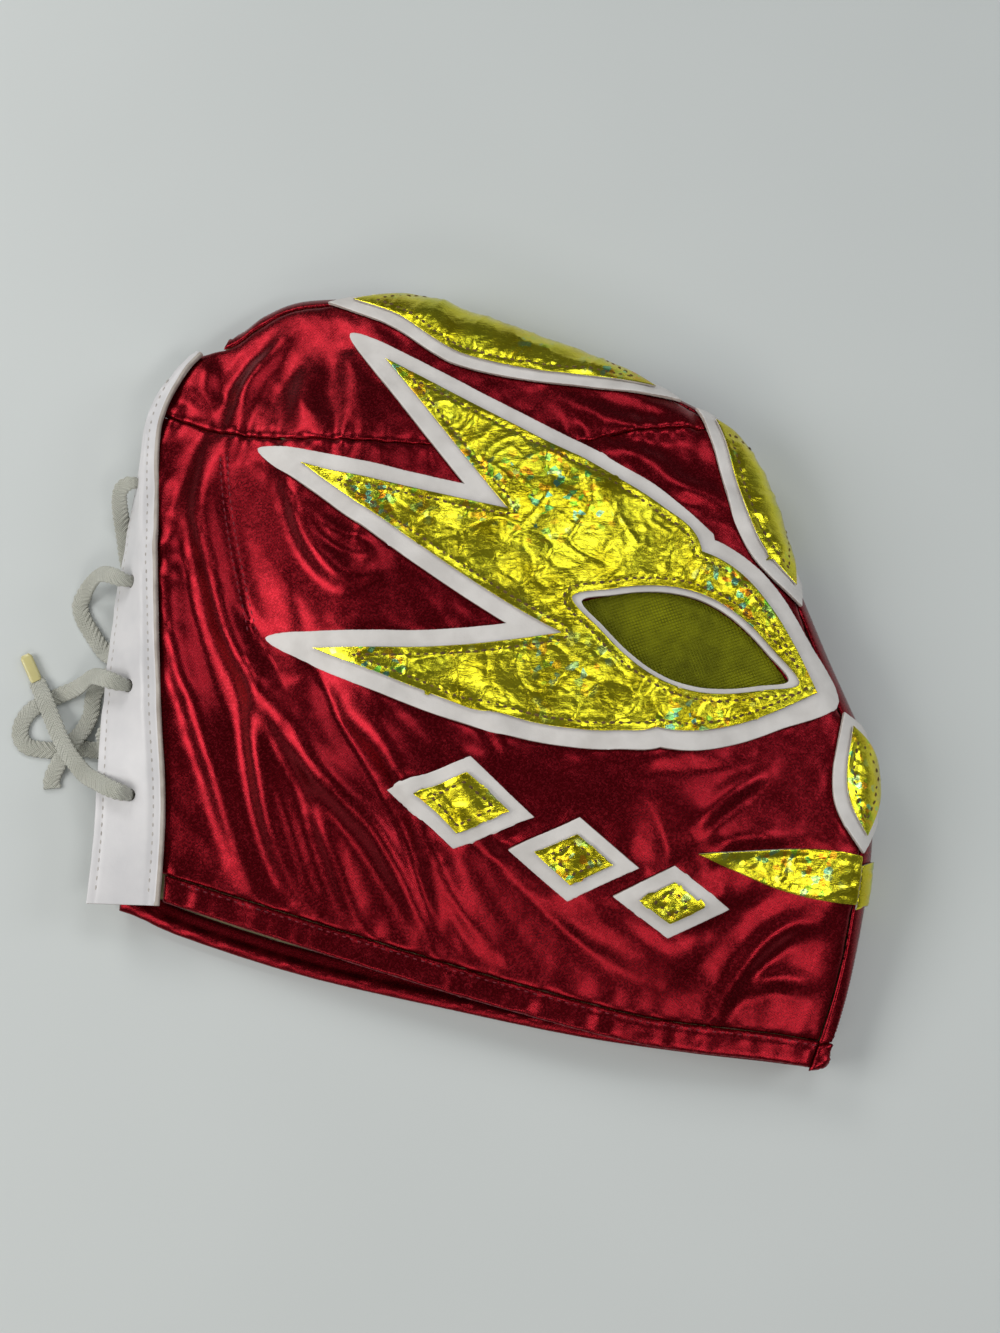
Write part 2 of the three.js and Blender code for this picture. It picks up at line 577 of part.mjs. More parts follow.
function lowerFacing() {
  const grid = [];
  for (let step = 0; step <= lowerFacingSteps; step += 1) {
    const along = THREE.MathUtils.lerp(lowerFacingStart, lowerFacingEnd, step / lowerFacingSteps);
    const reach = lowerFacingReach(along);
    const edge = Math.min(lowerFacingEdge(along), 0.9 * reach);
    grid.push([reach, edge, 0].map((way) => lowerFacingPoint(along, way)));
  }
  const strip = sheetSolid(withNormals(grid), -facingThickness, 0);
  const places = eyeletPlaces.filter((along) => along < lowerFacingEnd - lowerFacingMargin);
  const drills = places.map((along) => {
    const centre = lowerFacingPoint(along, lowerFacingHole * lowerFacingReach(along));
    return eyeletDrill(centre, new THREE.Vector3(0, 0, 1));
  });
  return strip.subtract(joined(drills));
}

// Plan of what lies inside the back edge, the hem and the crown seam
const corner = (x, y) => new THREE.Vector2(x * farAway, y * farAway);
function insideBack(slip) {
  const edge = [];
  for (let step = 0; step <= lineSteps; step += 1) {
    const { spot, out, lap } = facingFrame(step / lineSteps);
    edge.push(spot.clone().addScaledVector(out, lap - 2 * gap + slipAt(step / lineSteps, slip)));
  }
  const last = edge[edge.length - 1];
  const onward = last.clone().sub(edge[edge.length - 2]).setLength(farAway);
  const down = new THREE.Vector2(edge[0].x, -farAway);
  return prism([down, ...edge, last.clone().add(onward), corner(1, 1), corner(1, -1)]);
}
const aboveLine = (line) => prism([...line, corner(1, 1), corner(-1, 1)]);
const belowLine = (line) => prism([...line, corner(1, -1), corner(-1, -1)]);

const crownSeamLine = planLine(crownSeamRows, lineSteps);
const aboveCrownSeam = aboveLine(moveLine(crownSeamLine, gap / 2));
const belowCrownSeam = belowLine(moveLine(crownSeamLine, -gap / 2));

const eyeOutline = leafOutline(eyeLeaf);
const flameOutlines = flameLeaves.map(leafOutline);
const flamePrism = (grow) => joined(flameOutlines.map((outline) => prism(growOutline(outline, grow))));

// Plan of the upper facing's inner edge, which the upper hem stops at
const facingInnerEdge = moveLine(backLine.slice(0, 8), -2 * gap);
const besideFacing = prism([
  new THREE.Vector2(facingInnerEdge[0].x, -farAway), ...facingInnerEdge, corner(1, 0), corner(1, -1),
]);

const red = { color: 0x86081f, roughness: 0.38, metalness: 0.55 };
const gold = { color: 0xb8a612, roughness: 0.22, metalness: 0.9 };
const white = { color: 0xcdc6bf, roughness: 0.55, metalness: 0 };
const olive = { color: 0x5c5a34, roughness: 0.8, metalness: 0 };
const laceLook = { color: 0xa6a995, roughness: 0.85, metalness: 0 };
const agletLook = { color: 0xc9c27a, roughness: 0.25, metalness: 0 };

const mask = new THREE.Group();
function addPiece(name, solid, look) {
  const { vertProperties, triVerts } = solid.getMesh();
  const geometry = new THREE.BufferGeometry();
  geometry.setAttribute('position', new THREE.BufferAttribute(vertProperties, 3));
  geometry.setIndex(new THREE.BufferAttribute(triVerts, 1));
  geometry.computeVertexNormals();
  const mesh = new THREE.Mesh(geometry, new THREE.MeshStandardMaterial(look));
  mesh.name = name;
  mask.add(mesh);
}

// Each side is what lies within its own share of the layers
const sides = [
  { side: 'right', keep: (solid) => solid.intersect(rightCutter), hemLine: upperHemLine, slip: 0 },
  { side: 'left', keep: (solid) => solid.subtract(leftCutter), hemLine: lowerHemLine, slip: cornerSlip },
];
for (const { side, keep, hemLine, slip } of sides) {
  const back = insideBack(slip);
  const cloth = keep(cutBy(clothLayer, [back, aboveLine(moveLine(hemLine, hemDepth + gap))]));
  addPiece(`crown_panel_${side}`, cloth.intersect(aboveCrownSeam), red);
  const eyeHole = prism(eyeOutline);
  addPiece(`side_panel_${side}`, cloth.intersect(belowCrownSeam).subtract(eyeHole), red);

  const hemStrip = [aboveLine(hemLine), belowLine(moveLine(hemLine, hemDepth))];
  const hem = keep(cutBy(hemLayer, [back, ...hemStrip]));
  addPiece(`neck_hem_${side}`, side === 'right' ? hem.intersect(besideFacing) : hem, red);

  addPiece(`eye_mesh_${side}`, keep(netLayer.intersect(prism(growOutline(eyeOutline, netOverlap)))), olive);
  const flame = (layer, grow, rim) => (
    keep(layer.intersect(flamePrism(grow)).subtract(prism(growOutline(eyeOutline, rim)))));
  addPiece(`eye_flame_border_${side}`, flame(borderLayer, borderWidth, -eyeRimSeat), white);
  addPiece(`eye_flame_${side}`, flame(foilLayer, 0, eyeRimWidth), gold);

  jawLozenges.map(lozengeOutline).forEach((outline, index) => {
    addPiece(`jaw_lozenge_border_${index + 1}_${side}`,
      keep(borderLayer.intersect(prism(growOutline(outline, smallBorderWidth)))), white);
    addPiece(`jaw_lozenge_${index + 1}_${side}`, keep(foilLayer.intersect(prism(outline))), gold);
  });
  addPiece(`mouth_trim_${side}`, keep(trimLayer.intersect(prism(leafOutline(mouthLeaf)))), gold);
}

// Patches that lie across the centre seam
for (const patch of seamPatches) {
  const border = prism(seamOutline(patch, smallBorderWidth), foldHeight);
  addPiece(`${patch.name}_border`, borderLayer.intersect(border), white);
  addPiece(patch.name, foilLayer.intersect(prism(seamOutline(patch, 0), foldHeight)), gold);
}

addPiece('lace_facing_right', upperFacing(), white);
addPiece('lace_facing_left', lowerFacing(), white);

// A round tube along a route
function tubeSolid(route, diameter, steps) {
  const circle = new THREE.EllipseCurve(0, 0, diameter / 2, diameter / 2);
  const section = new THREE.Shape(circle.getPoints(8).slice(1));
  const extrudePath = new THREE.CatmullRomCurve3(route.map((point) => new THREE.Vector3(...point)));
  return geometrySolid(new THREE.ExtrudeGeometry(section, { steps, extrudePath, bevelEnabled: false }));
}
addPiece('lace', tubeSolid(laceRoute, laceDiameter, laceSteps), laceLook);
addPiece('lace_tail', tubeSolid(tailRoute, laceDiameter, tailSteps), laceLook);
addPiece('lace_aglet', tubeSolid(agletRoute, agletDiameter, 1), agletLook);

// The origin is under the middle of the mask, on the table
const bounds = new THREE.Box3();
const laceNames = ['lace', 'lace_tail', 'lace_aglet'];
for (const mesh of mask.children) {
  if (!laceNames.includes(mesh.name)) bounds.expandByObject(mesh);
}
const middle = bounds.getCenter(new THREE.Vector3());
mask.position.set(-middle.x, -middle.y, -bounds.min.z);

export default mask;
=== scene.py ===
"""A luchador mask folded on its midline, lying on its left side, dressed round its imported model."""
import json
import math

import bpy
import numpy as np
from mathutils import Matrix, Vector, geometry, kdtree


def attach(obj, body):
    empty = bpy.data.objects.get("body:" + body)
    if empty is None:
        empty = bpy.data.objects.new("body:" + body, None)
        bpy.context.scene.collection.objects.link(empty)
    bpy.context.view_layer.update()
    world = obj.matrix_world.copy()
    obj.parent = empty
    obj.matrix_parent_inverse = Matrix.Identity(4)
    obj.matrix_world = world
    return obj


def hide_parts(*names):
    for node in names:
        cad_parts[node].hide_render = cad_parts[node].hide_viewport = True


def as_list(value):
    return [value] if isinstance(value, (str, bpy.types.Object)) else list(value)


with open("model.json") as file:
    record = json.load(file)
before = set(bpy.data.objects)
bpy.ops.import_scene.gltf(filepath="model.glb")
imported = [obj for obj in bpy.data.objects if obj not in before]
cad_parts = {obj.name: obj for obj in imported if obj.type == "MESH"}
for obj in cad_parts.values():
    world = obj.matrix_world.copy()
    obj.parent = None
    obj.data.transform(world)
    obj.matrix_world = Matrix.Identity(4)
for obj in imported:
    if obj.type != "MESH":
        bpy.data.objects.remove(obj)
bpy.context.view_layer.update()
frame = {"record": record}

# Sizes of the folded mask in millimetres
MM = 0.001
MASK_SIZE = np.array([276.0, 300.0])
LOFT_HEIGHT = 44
FOLD_HEIGHT = 15
FOLD_RADIUS = 18
UNDER_RADIUS = 12
GAP = 0.3
SEAM_GAP = 0.12
WALL = 1.6
HEM_DEPTH = 9.5
HEM_INNER = -2.2
HEM_TURN = 5.5
HEM_OUTER = 0.6
BORDER_WIDTH = 6.5
SMALL_BORDER_WIDTH = 4.8
BORDER_INNER = GAP
BORDER_OUTER = 1.7
FOIL_INNER = BORDER_OUTER + GAP
FOIL_OUTER = FOIL_INNER + 0.9
TRIM_OUTER = 1.2
EYE_RIM_WIDTH = 1.6
EYE_RIM_SEAT = 0.4
NET_OUTER = -WALL - GAP
NET_INNER = NET_OUTER - 1
NET_OVERLAP = 5
NET_PITCH = 1.15
NET_THREAD = 0.36
NET_LEAN = 0.35
NET_STEP = 1.5
NET_RISES = (0.12, 0.02)
FACING_WIDTH = 27
FACING_THICKNESS = 1.4
FACING_LAP = 6
FACING_SEAT = 0.85
FACING_INSET = 1.5
FACING_RISE = 0.5
FACING_TOP = 0.93
LIP_WIDTH = 1.7
INNER_ROW = 4.3
OUTER_ROW = 3
HEM_ROW = 1.4
EYELET_RADIUS = 2.4
EYELET_SIDES = 40
EYELET_PLACES = [41 + 41 * index for index in range(5)]
LOWER_FACING = (0.08, 0.8)
LOWER_FACING_HOLE = 0.62
CORNER_SLIP = 13
CORNER_LENGTH = 26
REST_HEIGHT = GAP + BORDER_OUTER + 0.9
FOIL_STITCH_INSET = 2.8

# The photograph's view, with the plan's point that its axis meets
PHOTO_SIZE = np.array([1000.0, 1333.0])
VIEW_DISTANCE = 560.0
VIEW_ELEVATION = math.radians(77)
VIEW_TARGET = np.array([136.6, 148.0, 18.0])
PHOTO_FOCAL = 1473.7
SENSOR = 36.0

# The plan's origin is the corner of chin and back opening. The resting mount says where it lies in the frame.
REST_IN_PLAN = np.array([130.0, 196.0])
rest_mount = frame["record"]["mounts"][0]["pos_m"]
SHIFT = np.append(np.array(rest_mount[:2]) / MM - REST_IN_PLAN, 0.0)


def to_frame(points):
    """Points of the plan, in millimetres, as points of the frame, in metres"""
    return (np.asarray(points, float) + SHIFT) * MM


VIEW_BACK = np.array([0, -math.cos(VIEW_ELEVATION), math.sin(VIEW_ELEVATION)])
VIEW_EYE = VIEW_TARGET + VIEW_DISTANCE * VIEW_BACK
VIEW_UP = np.cross(VIEW_BACK, [1.0, 0, 0])


def make_camera():
    camera = bpy.data.objects.new("camera", bpy.data.cameras.new("camera"))
    camera.data.sensor_width = SENSOR
    camera.data.lens = PHOTO_FOCAL * SENSOR / PHOTO_SIZE.max()
    camera.data.clip_start = 0.01
    camera.data.clip_end = 20
    camera.location = to_frame(VIEW_EYE)
    camera.rotation_mode = "QUATERNION"
    camera.rotation_quaternion = Vector(-VIEW_BACK).to_track_quat("-Z", "Y")
    bpy.context.scene.collection.objects.link(camera)
    bpy.context.scene.camera = camera


def from_photo(pixels, height=34.0):
    """The plan's points at some height that the photograph shows at these pixels"""
    across, down = (np.asarray(pixels, float) - PHOTO_SIZE / 2).T / PHOTO_FOCAL
    ways = np.outer(across, [1.0, 0, 0]) - np.outer(down, VIEW_UP) - VIEW_BACK
    share = (height - VIEW_EYE[2]) / ways[:, 2]
    return (VIEW_EYE + ways * share[:, None])[:, :2]


make_camera()

# Tables of the folded shape, in shares across the length and up the height
FOLD_ROWS = [
    (-0.17, 0.76), (-0.07, 0.87), (0.04, 0.925), (0.115, 0.953), (0.155, 0.981), (0.215, 1.0),
    (0.33, 0.999), (0.39, 0.992), (0.465, 0.966), (0.61, 0.915), (0.76, 0.852), (0.815, 0.813),
    (0.85, 0.767), (0.878, 0.702), (0.898, 0.636), (0.943, 0.517), (0.97, 0.452), (0.995, 0.388),
    (1.0, 0.33), (0.992, 0.25), (0.977, 0.177), (0.956, 0.1), (0.936, 0.045), (0.916, 0.0),
    (0.89, -0.06), (0.86, -0.14),
]
SEAM_ALONG = [-0.1, 0, 0.12, 0.22, 0.4, 0.6, 0.74, 0.9, 1.1]
SEAM_INSET = [0.26, 0.27, 0.34, 0.5, 0.26, 0.3, 0.42, 0.28, 0.26]
CROWN_SEAM_ROWS = [
    (-0.25, 0.9), (0.02, 0.825), (0.125, 0.79), (0.26, 0.772), (0.467, 0.763), (0.58, 0.772),
    (0.7, 0.793), (0.83, 0.803), (1.1, 0.815),
]
UPPER_HEM_ROWS = [
    (-0.2, 0.27), (0.044, 0.199), (0.174, 0.161), (0.342, 0.113), (0.495, 0.072), (0.68, 0.029),
    (0.847, 0.01), (0.916, 0.0), (1.1, -0.02),
]
LOWER_HEM_ROWS = [
    (-0.2, 0.235), (-0.02, 0.19), (0.058, 0.16), (0.228, 0.111), (0.422, 0.071), (0.598, 0.038),
    (0.74, 0.019), (0.847, 0.008), (0.916, 0.0), (1.1, -0.02),
]
FACING_ROWS = [
    (0.044, 0.193), (0.048, 0.319), (0.039, 0.442), (0.03, 0.57), (0.02, 0.703), (0.016, 0.787),
    (0.021, 0.828), (0.035, 0.863), (0.062, 0.905), (0.112, 0.95),
]
FACING_ALONG = [0, 0.17, 0.33, 0.49, 0.66, 0.77, 0.84, 0.92, 1]
FACING_LEAN = [0.04, 0.14, 0.38, 0.55, 0.75, 0.88, 0.95, 1, 1]
FACING_SHARE = [1, 1, 1, 1, 1, 0.96, 0.8, 0.5, 0.3]

# Leaves of the gold design: root, bend and tip of the spine, half width, and the belly's place along it
EYE_LEAF = ((0.6, 0.555), (0.745, 0.51), (0.882, 0.462), 0.057, 0.5)
FLAME_LEAVES = [
    ((0.54, 0.575), (0.74, 0.51), (0.915, 0.447), 0.118, 0.5),
    ((0.77, 0.545), (0.55, 0.7), (0.335, 0.885), 0.075, 0.22),
    ((0.74, 0.53), (0.5, 0.61), (0.225, 0.735), 0.07, 0.22),
    ((0.76, 0.47), (0.52, 0.43), (0.25, 0.5), 0.064, 0.22),
]
MOUTH_LEAF = ((1.06, 0.215), (0.9, 0.225), (0.75, 0.25), 0.03, 0.4)
JAW_LOZENGES = [
    ((0.445, 0.31), 0.125, 0.076, -0.2),
    ((0.59, 0.245), 0.102, 0.063, -0.15),
    ((0.715, 0.195), 0.083, 0.05, -0.1),
]
SEAM_PATCHES = {
    "crest": (0.1, 0.375, 0.048), "brow_kite": (0.43, 0.585, 0.034), "nose_kite": (0.715, 0.805, 0.026),
}

# Folds of the upper side: the photograph's pixels along the ridge, its height and its width
FOLDS = [
    ([(165, 540), (169, 633), (190, 704), (212, 775), (232, 846), (252, 896)], 1.7, 5.0),
    ([(206, 447), (199, 510), (214, 585), (230, 633), (250, 672), (281, 716)], 2.6, 6.0),
    ([(262, 690), (305, 759), (337, 791), (372, 827), (400, 874), (440, 955)], 3.0, 6.5),
    ([(310, 790), (326, 840), (350, 904), (370, 935)], 1.8, 5.0),
    ([(250, 672), (254, 736), (262, 795), (277, 854), (299, 896)], 2.2, 5.0),
    ([(270, 760), (290, 830), (308, 888)], 1.0, 2.8),
    ([(285, 459), (296, 499), (313, 546), (345, 582), (378, 574)], 2.6, 5.5),
    ([(317, 512), (337, 538), (378, 550)], 1.6, 4.0),
    ([(352, 712), (384, 748), (408, 791), (430, 838), (452, 892), (492, 948)], 3.2, 6.0),
    ([(412, 827), (424, 866), (439, 906), (457, 951)], 1.4, 3.6),
    ([(452, 755), (471, 800), (495, 832), (528, 856), (568, 888)], 2.2, 6.0),
    ([(443, 686), (475, 704), (499, 732), (512, 765)], 1.4, 4.5),
    ([(214, 405), (200, 380), (205, 350)], 1.2, 5.0),
    ([(252, 360), (238, 395), (228, 430)], 1.6, 4.5),
    ([(284, 324), (262, 352), (236, 384)], 1.4, 4.5),
    ([(310, 360), (304, 400), (312, 438)], 1.6, 7.0),
    ([(360, 330), (352, 380), (360, 435)], 1.2, 7.0),
    ([(560, 395), (600, 415), (650, 428), (700, 418)], 1.8, 5.5),
    ([(590, 376), (640, 392), (680, 408)], 1.2, 4.5),
    ([(575, 470), (620, 452), (660, 470), (700, 505)], 1.6, 6.0),
    ([(560, 470), (590, 488), (598, 512)], 1.2, 4.0),
    ([(655, 487), (700, 492), (738, 512), (762, 545)], 1.4, 5.0),
    ([(636, 760), (690, 755), (745, 752)], 1.4, 5.5),
    ([(690, 830), (722, 800), (765, 770)], 1.5, 4.5),
    ([(700, 860), (740, 840), (790, 838)], 1.6, 5.0),
    ([(722, 1012), (748, 966), (786, 929), (822, 922)], 2.0, 4.5),
    ([(742, 990), (780, 978), (820, 985)], 1.2, 4.0),
    ([(560, 905), (620, 940), (700, 968)], 2.0, 11.0),
    ([(620, 880), (680, 900), (730, 890)], 1.3, 7.0),
    ([(236, 596), (262, 640), (286, 690)], -2.0, 7.0),
    ([(296, 600), (330, 700), (372, 780), (398, 830)], -2.6, 8.0),
    ([(512, 880), (560, 925), (630, 975)], -1.6, 8.0),
    ([(170, 500), (186, 590), (206, 660), (236, 740)], -1.2, 6.0),
    ([(640, 800), (660, 830), (676, 880)], -1.4, 7.0),
]
DART_PIXELS = [(222, 452), (226, 500), (236, 560), (252, 632)]


def spline(points, steps):
    """A smooth line through points, with as many steps between each two"""
    points = np.asarray(points, float)
    at = np.linspace(0, len(points) - 1, steps + 1)
    first = np.minimum(at.astype(int), len(points) - 2)
    share = (at - first)[:, None]
    ends = np.vstack([points[:1], points, points[-1:]])
    before, start, end, after = (ends[first + step] for step in range(4))
    leave, arrive = (end - before) / 2, (after - start) / 2
    curve = (2 * start - 2 * end + leave + arrive) * share + 3 * end - 3 * start - 2 * leave - arrive
    return (curve * share + leave) * share + start


def lengths(line):
    return np.append(0, np.cumsum(np.linalg.norm(np.diff(line, axis=0), axis=1)))


def unit(ways):
    return ways / np.linalg.norm(ways, axis=1)[:, None]


def leftward(ways):
    return np.column_stack([-ways[:, 1], ways[:, 0]])


def places(line, at):
    """Points at some lengths along a line"""
    along = lengths(line)
    return np.column_stack([np.interp(at, along, axis) for axis in line.T])


def plan_line(rows, steps=32):
    return spline(np.array(rows) * MASK_SIZE, steps)


def ease(value, width):
    share = np.clip(value / width, 0, 1)
    return share * share * (3 - 2 * share)


def bell(distance, width):
    return np.exp(-(distance / width) ** 2)


def mix(start, end, share):
    return start + (end - start) * share


def nearest(points, line):
    """Distance from each point to a line, the length along it, and its side: above 0 on the left"""
    steps = np.diff(line, axis=0)
    starts = lengths(line)
    best = np.full(len(points), np.inf)
    along = np.zeros(len(points))
    side = np.ones(len(points))
    for start, step, before in zip(line, steps, starts):
        size = step @ step
        arm = points - start
        share = np.clip(arm @ step / size, 0, 1)
        away = arm - share[:, None] * step
        distance = np.hypot(away[:, 0], away[:, 1])
        closer = distance < best
        best[closer] = distance[closer]
        along[closer] = before + share[closer] * math.sqrt(size)
        side[closer] = np.sign(step[0] * away[closer, 1] - step[1] * away[closer, 0])
    return best, along, side


# The fold in polar form round a point behind and below the mask
POLE = np.array([-0.31, -0.1]) * MASK_SIZE


def polar(points):
    arm = points - POLE
    return np.arctan2(arm[:, 1], arm[:, 0]), np.hypot(arm[:, 0], arm[:, 1])


def from_pole(turn, reach):
    return POLE + np.column_stack([reach * np.cos(turn), reach * np.sin(turn)])


fold_turns, fold_reaches = (column[::-1] for column in polar(plan_line(FOLD_ROWS, 1200)))
end_turns = polar(np.array([FOLD_ROWS[3], FOLD_ROWS[23]]) * MASK_SIZE)[0]


def fold_reach(turn):
    return np.interp(turn, fold_turns, fold_reaches)


def fold_slant(turn):
    step = 0.02
    rate = (fold_reach(turn + step) - fold_reach(turn - step)) / (2 * step)
    return 1 / np.hypot(1, rate / fold_reach(turn))


def turn_at(along):
    return mix(end_turns[0], end_turns[1], along)


def seam_points(turn, out=0.0):
    along = (end_turns[0] - turn) / (end_turns[0] - end_turns[1])
    inset = FOLD_RADIUS * np.interp(along, SEAM_ALONG, SEAM_INSET) / fold_slant(turn)
    return from_pole(turn, fold_reach(turn) - inset + out)


back_line = plan_line(FACING_ROWS)
upper_hem_line = plan_line(UPPER_HEM_ROWS)
lower_hem_line = plan_line(LOWER_HEM_ROWS)
crown_seam_line = plan_line(CROWN_SEAM_ROWS)
fold_lines = [(spline(from_photo(pixels), 14), crest, width) for pixels, crest, width in FOLDS]
dart_line = spline(from_photo(DART_PIXELS), 16)

# A fold's shape: its height at its ends, how it leans, and the shallow valley beside it, in its widths
FOLD_START = 0.06
FOLD_MIDDLE = 0.88
FOLD_TAPER = 0.8
FOLD_LEAN = 0.22
VALLEY_DEPTH = 0.3
VALLEY_PLACE = 2
VALLEY_WIDTH = 1.1

# The upper side's loft, as shares: at the fold, at the hem's back and front and at the back opening, and how
# far from each it is whole, in shares of the mask's height
LOFT_AT_FOLD = 0.55
LOFT_AT_HEM = (0.24, 0.12)
LOFT_AT_BACK = 0.45
FOLD_SLOPE = 0.32
HEM_SLOPE = 0.28
BACK_SLOPE = 0.276


def folds_near(points, widths):
    """Each fold with the points that lie within some of its widths, and their distance, side and share of
    its height"""
    for line, crest, width in fold_lines:
        near = ((points > line.min(0) - widths * width) & (points < line.max(0) + widths * width)).all(1)
        if near.any():
            distance, along, side = nearest(points[near], line)
            taper = np.sin(math.pi * (FOLD_START + FOLD_MIDDLE * along / lengths(line)[-1])) ** FOLD_TAPER
            yield crest, width, near, distance, side, taper


def fold_relief(points):
    """Height that the folds add, each steeper on its lower left side, with a shallow valley beside it"""
    height = np.zeros(len(points))
    for crest, width, near, distance, side, taper in folds_near(points, 4):
        across = distance / (width * (1 + FOLD_LEAN * side))
        bump = bell(across, 1) - VALLEY_DEPTH * bell(across - VALLEY_PLACE, VALLEY_WIDTH)
        height[near] += crest * taper * bump
    return height


def swell(points, depth):
    front = np.clip(points[:, 0] / MASK_SIZE[0], 0, 1)
    span = MASK_SIZE[1]
    from_fold = mix(LOFT_AT_FOLD, 1, ease(depth, FOLD_SLOPE * span))
    from_hem = mix(mix(*LOFT_AT_HEM, front), 1, ease(nearest(points, upper_hem_line)[0], HEM_SLOPE * span))
    from_back = mix(LOFT_AT_BACK, 1, ease(nearest(points, back_line)[0], BACK_SLOPE * span))
    rise = (LOFT_HEIGHT - FOLD_HEIGHT) * from_fold * from_hem * from_back
    return rise + fold_relief(points) * ease(depth, FOLD_RADIUS)


def hood(points):
    """The cloth's outer face over points of the plan. A point outside the fold stands for the lower side."""
    turn, reach = polar(points)
    fold = fold_reach(turn)
    inward = np.abs(fold - reach)
    spot = from_pole(turn, fold - inward)
    depth = inward * fold_slant(turn)

    def rounding(radius):
        return np.sqrt(1 - (1 - np.clip(depth / radius, 0, 1)) ** 2)

    upper = FOLD_HEIGHT + swell(spot, depth) * rounding(FOLD_RADIUS)
    lower = FOLD_HEIGHT - (FOLD_HEIGHT - REST_HEIGHT) * rounding(UNDER_RADIUS)
    return np.column_stack([spot, np.where(reach > fold, lower, upper)])


def turned_under(points, seam_out=None):
    """Points of the plan on the lower side. Those on the fold go to the seam, where that is asked."""
    turn, reach = polar(points)
    fold = fold_reach(turn)
    under = from_pole(turn, 2 * fold - reach)
    if seam_out is not None:
        on_fold = (fold - reach) * fold_slant(turn) < 0.05
        under[on_fold] = seam_points(turn[on_fold], seam_out)
    return under


# The facing of the back opening, over the length along it and the way out from its inner edge
facing_curve = plan_line(FACING_ROWS, 400)
facing_length = lengths(facing_curve)[-1]


def facing_frame(at):
    share = at / facing_length
    spot = places(facing_curve, at)
    ahead = places(facing_curve, np.minimum(at + 1, facing_length))
    out = leftward(unit(ahead - places(facing_curve, np.maximum(at - 1, 0))))
    size = np.interp(share, FACING_ALONG, FACING_SHARE)
    lean = np.interp(share, FACING_ALONG, FACING_LEAN) * math.pi / 2
    return spot, out, lean, FACING_WIDTH * size, FACING_LAP * size


def upper_facing(points):
    at, way = points.T
    spot, out, lean, _, lap = facing_frame(at)
    on_cloth = np.minimum(way, lap)
    free = way - on_cloth
    flat = spot + out * (on_cloth + free * np.cos(lean))[:, None]
    base = hood(spot + out * on_cloth[:, None])[:, 2]
    return np.column_stack([flat, base + FACING_SEAT - free * np.sin(lean)])


def slip_at(at, slip):
    return slip * bell(at, CORNER_LENGTH)


def lower_reach(at):
    _, _, lean, width, lap = facing_frame(at)
    return lap + (width - lap) * np.cos(lean) - FACING_INSET


def lower_facing(points):
    at, way = points.T
    spot, out, _, _, lap = facing_frame(at)
    free = np.maximum(0, way - lap - slip_at(at, CORNER_SLIP))
    return np.column_stack([spot + out * way[:, None], REST_HEIGHT - GAP + free * FACING_RISE])


# Outlines in the plan, as closed loops of points
LONGEST_CORNER = 3
CORNER_TURN = math.radians(24)


def inside(points, loop):
    found = np.zeros(len(points), bool)
    x, y = points.T
    for (ax, ay), (bx, by) in zip(loop, np.roll(loop, -1, 0)):
        if ay == by:
            continue
        crosses = (ay > y) != (by > y)
        found ^= crosses & (x < (bx - ax) * (y - ay) / (by - ay) + ax)
    return found


def inside_all(points, loops):
    """Inside the outlines and outside their holes"""
    found = np.zeros(len(points), bool)
    for loop in loops:
        found ^= inside(points, loop)
    return found


def inside_any(points, loops):
    found = np.zeros(len(points), bool)
    for loop in loops:
        found |= inside(points, loop)
    return found


def inside_every(points, loops):
    return np.logical_and.reduce([inside(points, loop) for loop in loops])


def rims(faces):
    """The loops of vertices round a set of faces"""
    sides = [(face[k], face[(k + 1) % 3]) for face in faces.tolist() for k in range(3)]
    known = set(sides)
    after = {}
    for start, end in sides:
        if (end, start) not in known:
            after.setdefault(start, []).append(end)
    loops = []
    while after:
        start = next(iter(after))
        loop = []
        here = start
        while here in after:
            loop.append(here)
            onward = after[here].pop()
            if not after[here]:
                del after[here]
            here = onward
        loops.append(loop)
    return loops


def fill(points, loops, keep):
    """Triangles over the points, with the loops' edges kept, where keep(middle) says so"""
    edges = []
    start = 0
    for loop in loops:
        edges += [(start + k, start + (k + 1) % len(loop)) for k in range(len(loop))]
        start += len(loop)
    made = geometry.delaunay_2d_cdt([Vector(point) for point in points], edges, [], 0, 1e-5, False)
    vertices = np.array(made[0], float)
    faces = np.array(made[2])
    return vertices, faces[keep(vertices[faces].mean(1))]


def region(loops, keep):
    """The outlines of what keep accepts, of the pieces into which the loops cut the plan"""
    vertices, faces = fill(np.vstack(loops), loops, keep)
    found = [vertices[loop] for loop in rims(faces)]
    return [loop for loop in found if abs(area(loop)) > 2]


def area(loop):
    x, y = loop.T
    return (x * np.roll(y, -1) - y * np.roll(x, -1)).sum() / 2


def evenly(loop, step):
    """A closed loop again with points about a step apart, its corners kept"""
    back = loop - np.roll(loop, 1, 0)
    ahead = np.roll(back, -1, 0)
    turn = np.abs(np.arctan2(back[:, 0] * ahead[:, 1] - back[:, 1] * ahead[:, 0], (back * ahead).sum(1)))
    corners = np.flatnonzero(turn > CORNER_TURN)
    if not len(corners):
        corners = np.array([0])
    parts = []
    for first, last in zip(corners, np.roll(corners, -1)):
        run = loop[first:last + 1] if last > first else np.vstack([loop[first:], loop[:last + 1]])
        total = lengths(run)[-1]
        parts.append(places(run, np.linspace(0, total, max(1, round(total / step)) + 1)[:-1]))
    return np.vstack(parts)


def leftwards(loop, distance):
    """Points of a closed loop moved to its left"""
    return loop + distance * leftward(unit(np.roll(loop, -1, 0) - np.roll(loop, 1, 0)))


def outwards(loop):
    """The loop with its outside on the right"""
    return loop if area(loop) > 0 else loop[::-1]


